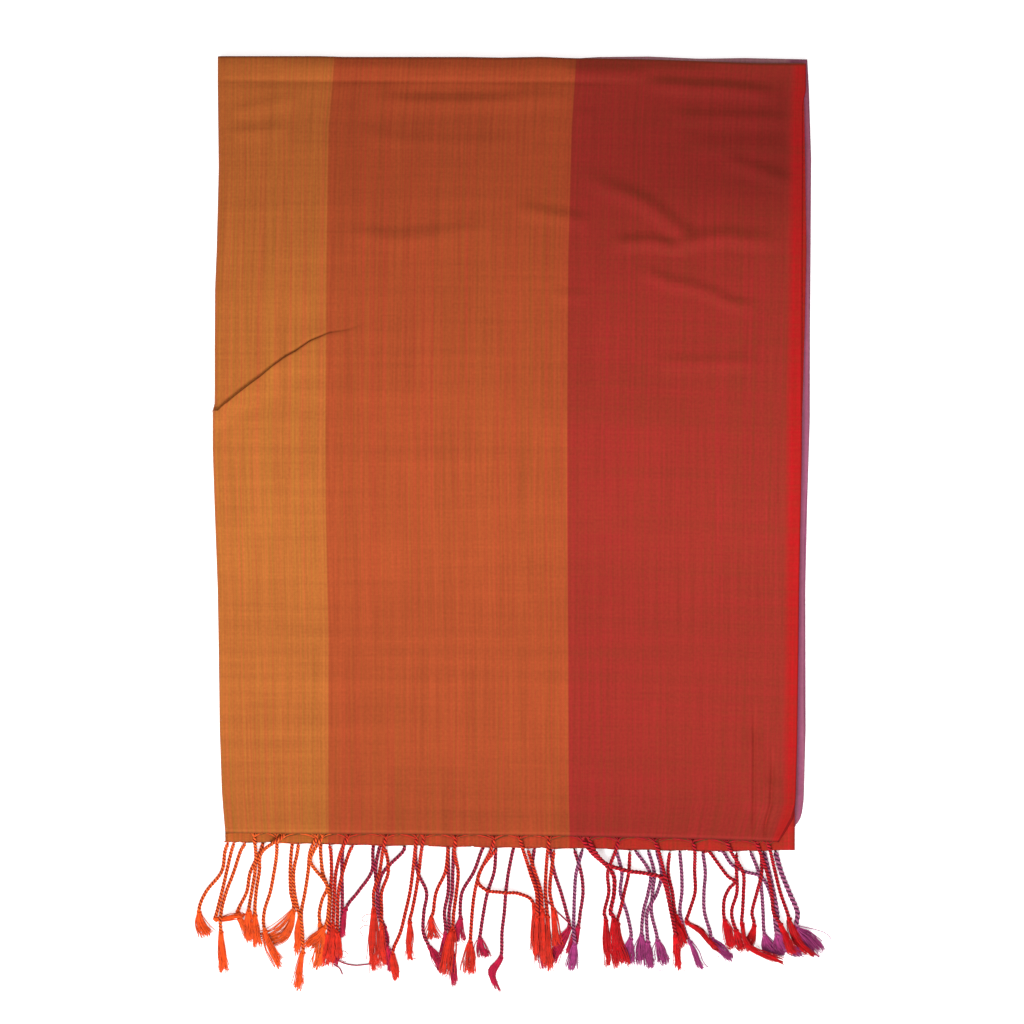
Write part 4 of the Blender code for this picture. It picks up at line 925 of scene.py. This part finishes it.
class Yarn:
    """The tubes of one fringe piece, gathered before its mesh is made."""

    def __init__(self):
        self.points, self.faces, self.uv, self.dyes = [], [], [], []

    def tube(self, centres, radii, outward, sides, dye_number):
        """A tube round a line, closed at its ends; outward fixes where its first side faces, the
        side that the yarn's painted shade leaves lightest.
        """
        ahead = unit(np.gradient(centres, axis=0))
        across = unit(np.cross(ahead, outward))
        outward = np.cross(across, ahead)
        runs = run_along(centres)
        turn = np.arange(sides) * 2 * math.pi / sides
        radii = np.broadcast_to(radii, len(centres))
        ring = (centres[:, None, :]
                + radii[:, None, None] * (np.cos(turn)[None, :, None] * outward[:, None, :]
                                          + np.sin(turn)[None, :, None] * across[:, None, :]))
        first = sum(len(part) for part in self.points)
        self.points.append(ring.reshape(-1, 3))
        facing = np.broadcast_to(np.cos(turn)[None, :], ring.shape[:2])
        self.uv.append(np.stack([facing, facing * 0 + runs[:, None]], axis=-1).reshape(-1, 2))
        number = first + np.arange(len(centres) * sides).reshape(len(centres), sides)
        following = np.roll(number, -1, axis=1)
        quads = np.stack([number[:-1], following[:-1], following[1:], number[1:]], axis=-1)
        self.faces += quads.reshape(-1, 4).tolist()
        self.faces.append(tuple(number[0][::-1].tolist()))
        self.faces.append(tuple(number[-1].tolist()))
        self.dyes += [dye_number] * (quads.shape[0] * quads.shape[1] + 2)

    def twisted_cord(self, route, thick, dye_number, phase):
        """Two plies twisted round a route."""
        centres, runs = resampled(route, TWIST_PITCH * thick / TWIST_STEPS)
        _, side, up = frame_along(centres)
        full = thick * (ROOT_SHARE + (1 - ROOT_SHARE) * smooth(runs / ROOT_TAPER))
        for ply in (0, 1):
            angle = (2 * math.pi * runs / (thick * TWIST_PITCH) + phase + ply * math.pi)[:, None]
            outward = np.cos(angle) * side + np.sin(angle) * up
            self.tube(centres + PLY_OFFSET * full[:, None] * outward, PLY_RADIUS * full, outward, 6,
                      dye_number + ply)

    def knot(self, centre, axes, size, dye_number):
        """An overhand knot: three lobes of cord round the centre, pressed along the cord."""
        t = np.linspace(0, 2 * math.pi, 49)[:-1]
        lobes = np.column_stack([np.sin(t) + 2 * np.sin(2 * t), np.cos(t) - 2 * np.cos(2 * t),
                                 -np.sin(3 * t)]) * size / 3
        centres = centre + (lobes * KNOT_PRESSED).dot(axes)
        centres = np.concatenate([centres, centres[:1]])
        self.tube(centres, KNOT_RADIUS, centres - centre, 6, dye_number)

    def gathered_ends(self, root, gaps, reach_down, depth_at, height, drop, dye_numbers, dice):
        """Warp ends drawn in along the hem from both sides to the root of a cord."""
        for way, gap in zip((-1, 1), gaps):
            for n, share in enumerate(END_SHARES):
                reach = way * gap * share * dice.uniform(0.85, 1.1)
                end_down = reach_down * dice.uniform(0.4, 1.0)
                start = np.array([root + reach, depth_at(root + reach)])
                bend = np.array([root + dice.uniform(0.3, 0.5) * reach,
                                 depth_at(root) + 0.2 * end_down])
                end = np.array([root, depth_at(root) + end_down])
                t = np.linspace(0, 1, 8)[:, None]
                plan = (1 - t) ** 2 * start + 2 * t * (1 - t) * bend + t ** 2 * end
                heights = height - drop * t[:, 0] ** 2 + 0.2 * np.sin(math.pi * t[:, 0])
                points = place(plan[:, 0], HEM_DOWN + plan[:, 1], heights) / MM
                self.tube(points, END_RADIUS * dice.uniform(0.7, 1.2), UP, 4,
                          dye_numbers[(n + int(way > 0)) % len(dye_numbers)])

    def loose_thread(self, route, radius, dye_number):
        """A thread lying by itself on the floor."""
        route = smooth_route([np.array(point, float) for point in route])
        points = place(route[:, 0], HEM_DOWN + route[:, 1], radius + 0.15) / MM
        self.tube(points, radius, UP, 5, dye_number)

    def tassel(self, route, spread, dye_number, dice):
        """Loose fibres fanning out from the knot, each with its own length and bend."""
        centres, runs = resampled(route, 2.0)
        length = runs[-1]
        tufts = [(dice.uniform(-0.6, 0.6), dice.uniform(0.82, 1.04), dice.uniform(-0.9, 0.9),
                  dice.uniform(-0.6, 0.6), dice.uniform(0, 6)) for _ in range(TUFTS)]
        end_run = centres[-1] - centres[-2]
        end_run /= np.linalg.norm(end_run)
        for n in range(FIBRES):
            tuft_lean, tuft_reach, tuft_curl, tuft_rise, phase = tufts[n % TUFTS]
            stray = STRAY if n % STRAY_EVERY == 0 else 1.0
            reach = tuft_reach * dice.uniform(0.9, 1.05)
            lean = float(np.clip(tuft_lean + stray * dice.normal(0, 0.24), -1.3, 1.3))
            rise = float(np.clip(tuft_rise + dice.normal(0, 0.4), -1, 1))
            curl = tuft_curl + stray * dice.normal(0, 0.3)
            ripple = stray * dice.uniform(0.2, 0.6)
            stops = np.linspace(-1.5, length * reach, 8)
            share = np.clip(stops / length, 0, 1.1)
            base = at_runs(stops, runs, centres)
            base += np.maximum(stops - length, 0)[:, None] * end_run
            _, side, up = frame_along(base)
            fan = TASSEL_NECK + np.sin(np.clip(share, 0, 1) * math.pi / 2) * (spread - TASSEL_NECK)
            offset = lean * fan / 2 + curl * np.sin(share * math.pi * 1.3)
            offset += ripple * share * np.sin(7.5 * share + phase)
            round_off = math.sqrt(max(0.1, 1 - 0.6 * lean * lean))
            height = rise * TASSEL_HEIGHT * (1 - 0.4 * share) / 2 * round_off
            points = base + offset[:, None] * side[3] + height[:, None] * UP
            points[:, 2] = np.maximum(points[:, 2], 0.35)
            radius = FIBRE_RADIUS * (1 - 0.4 * np.clip(share, 0, 1))
            # Each fibre's first side faces up, so the painted shade of the tassel colour falls on
            # its sides and underside
            self.tube(points, radius, up[3] + 0.01, 3, dye_number)
        for _ in range(HAIRS):
            start = dice.uniform(0.4, 0.95) * length
            base = at_runs(start, runs, centres)
            way = dice.choice((-1.0, 1.0))
            heading = math.atan2(end_run[1], end_run[0]) + way * dice.uniform(0.2, 1.1)
            turning = dice.uniform(-0.5, 0.5)
            steps = np.arange(10) * dice.uniform(0.45, 0.8)
            heading = heading + turning * steps + 0.7 * np.sin(1.3 * steps + dice.uniform(0, 6))
            points = base + np.column_stack([np.cumsum(np.cos(heading)), np.cumsum(np.sin(heading)),
                                             np.zeros(10)]) * (steps[1] - steps[0])
            points[:, 2] = np.maximum(points[:, 2] - 0.12 * steps, 0.3)
            self.tube(points, HAIR_RADIUS, UP, 3, dye_number)


def yarn_fibre_group():
    """Fine fibres along a yarn, with painted shade where it turns in from its first side, towards
    its neighbour or the floor.
    """
    tree, given, result = effect_group(
        "Yarn fibres",
        [("Dye", COLOUR, (1, 0.2, 0.1, 1)), ("Groove", COLOUR, (0.3, 0.02, 0.01, 1))],
        [("Color", COLOUR), ("Height", FLOAT)])
    lengths, facing, _ = on_cloth(tree)
    fibres = streaks(tree, lengths, (0.3, 2.5))
    along = streaks(tree, lengths, (60, 7.0))
    # Painted shade: the groove colour where the yarn turns in, its dye where it faces out
    unshaded = ramp(tree, facing, 0.1, 0.95, 0.0, 1.0, "SMOOTHSTEP")
    colour = mix(tree, unshaded, given.outputs["Groove"], given.outputs["Dye"])
    light = with_noises(tree, 1.0, 1.0, ((fibres, 0.6), (along, 0.6)))
    fill(tree, result, {"Color": scaled(tree, colour, light), "Height": fibres})
    return tree


YARN_FIBRES = yarn_fibre_group()


def yarn_dye(name, colour, groove):
    """Dyed yarn with its fibres showing, and a painted shade colour down in the grooves."""
    mat = bpy.data.materials.new(name)
    mat.use_nodes = True
    tree = mat.node_tree
    fibres = put(tree, "ShaderNodeGroup", {"Dye": colour, "Groove": groove},
                 node_tree=YARN_FIBRES)
    bump = put(tree, "ShaderNodeBump", {"Height": fibres.outputs["Height"], "Strength": 0.4,
                                        "Distance": 0.15 * MM})
    fill(tree, tree.nodes["Principled BSDF"], {
        "Base Color": fibres.outputs["Color"], "Normal": bump.outputs["Normal"],
        "Roughness": 0.8, "Specular IOR Level": 0.12, "Sheen Weight": 0.05})
    return mat


# Each stripe's warp gives its cords their colour: two plies near each other in tone, a painted
# shade colour for the dark between them, and the loose fibres of the tassel, their colour set
# lighter than the plies as painted light for the light they catch
CordDye = namedtuple("CordDye", "name until first_ply second_ply groove tassel")
RED_SIDE_DYES = [
    CordDye("Orange", 68, (228, 100, 42), (214, 84, 34), (122, 26, 16), (236, 84, 28)),
    CordDye("Vermilion", 205, (204, 58, 34), (190, 46, 30), (106, 16, 20), (208, 46, 28)),
    CordDye("Red", 400, (178, 28, 40), (166, 22, 36), (94, 8, 22), (192, 8, 22))]
PURPLE_SIDE_DYES = [
    CordDye("Orange back", 68, (226, 98, 42), (212, 82, 34), (118, 24, 18), (238, 92, 34)),
    CordDye("Magenta", 216, (164, 50, 70), (150, 40, 62), (70, 10, 32), (176, 24, 62)),
    CordDye("Purple", 400, (158, 88, 118), (144, 72, 106), (70, 24, 54), (154, 54, 110))]
OLIVE = (96, 60, 26)        # the dark weft, still caught between the gathered ends
TASSEL_SHADE = 0.66         # painted shade: a tassel's colour times this, down between its fibres and on their undersides
KINDS = 3                   # materials for each dye: two plies and the tassel
Loose = namedtuple("Loose", "kind radius route")
LOOSE_MAGENTA = [
    Loose(1, 0.5, [(72.6, 75.0), (74.6, 76.8), (78.6, 78.6), (85.0, 79.6), (93.6, 78.8)]),
    Loose(1, 0.45, [(71.5, 79.0), (75.1, 81.4), (76.9, 85.2)]),
    Loose(1, 0.5, [(197.2, 38.6), (204.0, 46.4), (211.8, 54.0)])]
LOOSE_RED = [
    Loose(1, 0.16, [(94.6, 49.0), (90.8, 49.6), (88.4, 52.0), (90.6, 54.0), (92.0, 52.6)]),
    Loose(1, 0.16, [(93.6, 56.6), (90.0, 56.0), (87.2, 58.6), (89.0, 62.2)]),
    Loose(1, 0.16, [(66.6, 72.4), (72.0, 72.6), (77.6, 71.2), (80.2, 73.0)]),
    Loose(1, 0.16, [(67.6, 74.2), (73.0, 75.8), (79.2, 74.6)])]


def fringe_piece(name, strands, dyes, hem_line, lift, root_height, ledge, gathered, laid,
                 node_name, seed, loose=()):
    """All the cords, knots and tassels of one fringe.

    lift is how far the roots begin above the hem line, ledge the height of cloth that the cords
    cross first, gathered how far down the warp ends come together, laid the strands below.
    """
    dice = np.random.default_rng(seed)
    yarn = Yarn()
    strands = sorted(strands, key=lambda strand: strand.path[0])
    roots = [strand.path[0] for strand in strands]
    gaps = np.clip(np.diff([roots[0] - 4.0] + roots + [roots[-1] + 8.0]) / 2, 1.0, GATHER_REACH)
    olive = KINDS * len(dyes)

    def depth_at(across):
        return read(hem_line, across, "down") - lift

    for n, strand in enumerate(strands):
        route, runs, knot_run = lay_strand(strand, hem_line, lift, root_height, ledge, laid)
        number = KINDS * next(k for k, kind in enumerate(dyes) if strand.path[0] < kind.until)
        route = place(route[:, 0], HEM_DOWN + route[:, 1], route[:, 2]) / MM
        shown = runs >= STRIP / 2 + 0.2
        cord = route[shown & (runs <= knot_run)]
        yarn.twisted_cord(cord, strand.thick, number, dice.uniform(0, 2 * math.pi))
        dip = max(0.0, root_height - cord[4][2])
        yarn.gathered_ends(roots[n], gaps[n:n + 2], gathered, depth_at, root_height, dip,
                           (number + 1, number, olive), dice)
        at = int(np.sum(runs <= knot_run)) - 1
        axes = np.array([axis[at] for axis in frame_along(route)])
        yarn.knot(route[at], axes, KNOT_WIDTH / 2, number + 2)
        yarn.tassel(route[runs >= knot_run], TASSEL_FLARE * strand.spread, number + 2, dice)
    for thread in loose:
        yarn.loose_thread(thread.route, thread.radius, KINDS * thread.kind + 1)
    materials = []
    for kind in dyes:
        groove = dye(*kind.groove)
        tassel = dye(*kind.tassel)
        shaded = tuple(TASSEL_SHADE * part for part in tassel)
        materials += [yarn_dye(kind.name + " ply", dye(*kind.first_ply), groove),
                      yarn_dye(kind.name + " darker ply", dye(*kind.second_ply), groove),
                      yarn_dye(kind.name + " tassel", tassel, shaded)]
    # The olive weft, with its colour at 0.6 as painted shade on the sides of each end turned from
    # the top
    materials.append(yarn_dye(name + " weft", dye(*OLIVE), dye(*OLIVE, 0.6)))
    points = np.concatenate(yarn.points)
    points[:, 2] = np.maximum(points[:, 2], LOWEST)
    piece = mesh_piece(name, points * MM, yarn.faces, np.concatenate(yarn.uv), materials, yarn.dyes)
    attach(piece, "root")
    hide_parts(node_name)
    return piece


strands_laid = []
back_cords = fringe_piece(
    "back_cords", BACK_STRANDS, PURPLE_SIDE_DYES, SECOND_HEM_LINE, lift=BACK_SHORT,
    root_height=0.8, ledge=0.0, gathered=0.9, laid=strands_laid, node_name="back_fringe",
    seed=11, loose=LOOSE_MAGENTA)
second_cords = fringe_piece(
    "second_cords", SECOND_STRANDS, RED_SIDE_DYES, SECOND_HEM_LINE, lift=0.0, root_height=5.5,
    ledge=0.0, gathered=0.9, laid=strands_laid, node_name="second_fringe", seed=12)
front_cords = fringe_piece(
    "front_cords", FRONT_STRANDS, RED_SIDE_DYES, FRONT_HEM_LINE, lift=0.0, root_height=7.2,
    ledge=SECOND_TOP, gathered=3.6, laid=strands_laid, node_name="front_fringe", seed=13,
    loose=LOOSE_RED)

# The floor: a plain pale sheet, lit a little from below so that shadows on it stay faint.
floor_mesh = bpy.data.meshes.new("floor")
floor_mesh.from_pydata([(-4, -4, 0), (4, -4, 0), (4, 4, 0), (-4, 4, 0)], [], [(0, 1, 2, 3)])
floor = bpy.data.objects.new("floor", floor_mesh)
bpy.context.scene.collection.objects.link(floor)
floor_mat = bpy.data.materials.new("Pale floor")
floor_mat.use_nodes = True
fill(floor_mat.node_tree, floor_mat.node_tree.nodes["Principled BSDF"], {
    "Base Color": (0.93, 0.93, 0.93, 1), "Roughness": 0.9, "Specular IOR Level": 0.1,
    "Emission Color": (1, 1, 1, 1), "Emission Strength": 0.36})
floor_mesh.materials.append(floor_mat)

# Soft light: a broad lamp from beyond the fringe, a weaker one overhead, and a pale room.
Lamp = namedtuple("Lamp", "name place size power")
LAMPS = [Lamp("key", (-0.5, -2.7, 2.1), 1.6, 164.0), Lamp("overhead", (0.4, 0.8, 3.1), 2.0, 29.0)]
for lamp in LAMPS:
    light = bpy.data.lights.new(lamp.name, "AREA")
    light.size = lamp.size
    light.energy = lamp.power
    holder = bpy.data.objects.new(lamp.name, light)
    holder.location = lamp.place
    holder.rotation_mode = "QUATERNION"
    holder.rotation_quaternion = (-holder.location).to_track_quat("-Z", "Y")
    bpy.context.scene.collection.objects.link(holder)
room = bpy.data.worlds.new("Pale room")
room.use_nodes = True
fill(room.node_tree, room.node_tree.nodes["Background"],
     {"Color": (1, 1, 1, 1), "Strength": 0.546})
bpy.context.scene.world = room
bpy.context.scene.view_settings.view_transform = "Standard"

# The camera looks straight down.
VIEW_WIDTH = 610.3          # across the picture, at the height of the cloth
CAMERA_HEIGHT = 2400.0
SENSOR_WIDTH = 36.0
camera_data = bpy.data.cameras.new("camera")
camera_data.sensor_width = SENSOR_WIDTH
camera_data.lens = SENSOR_WIDTH * (CAMERA_HEIGHT - FRONT_TOP) / VIEW_WIDTH
camera = bpy.data.objects.new("camera", camera_data)
camera.location = (1.5 * MM, 7.5 * MM, CAMERA_HEIGHT * MM)
bpy.context.scene.collection.objects.link(camera)
bpy.context.scene.camera = camera
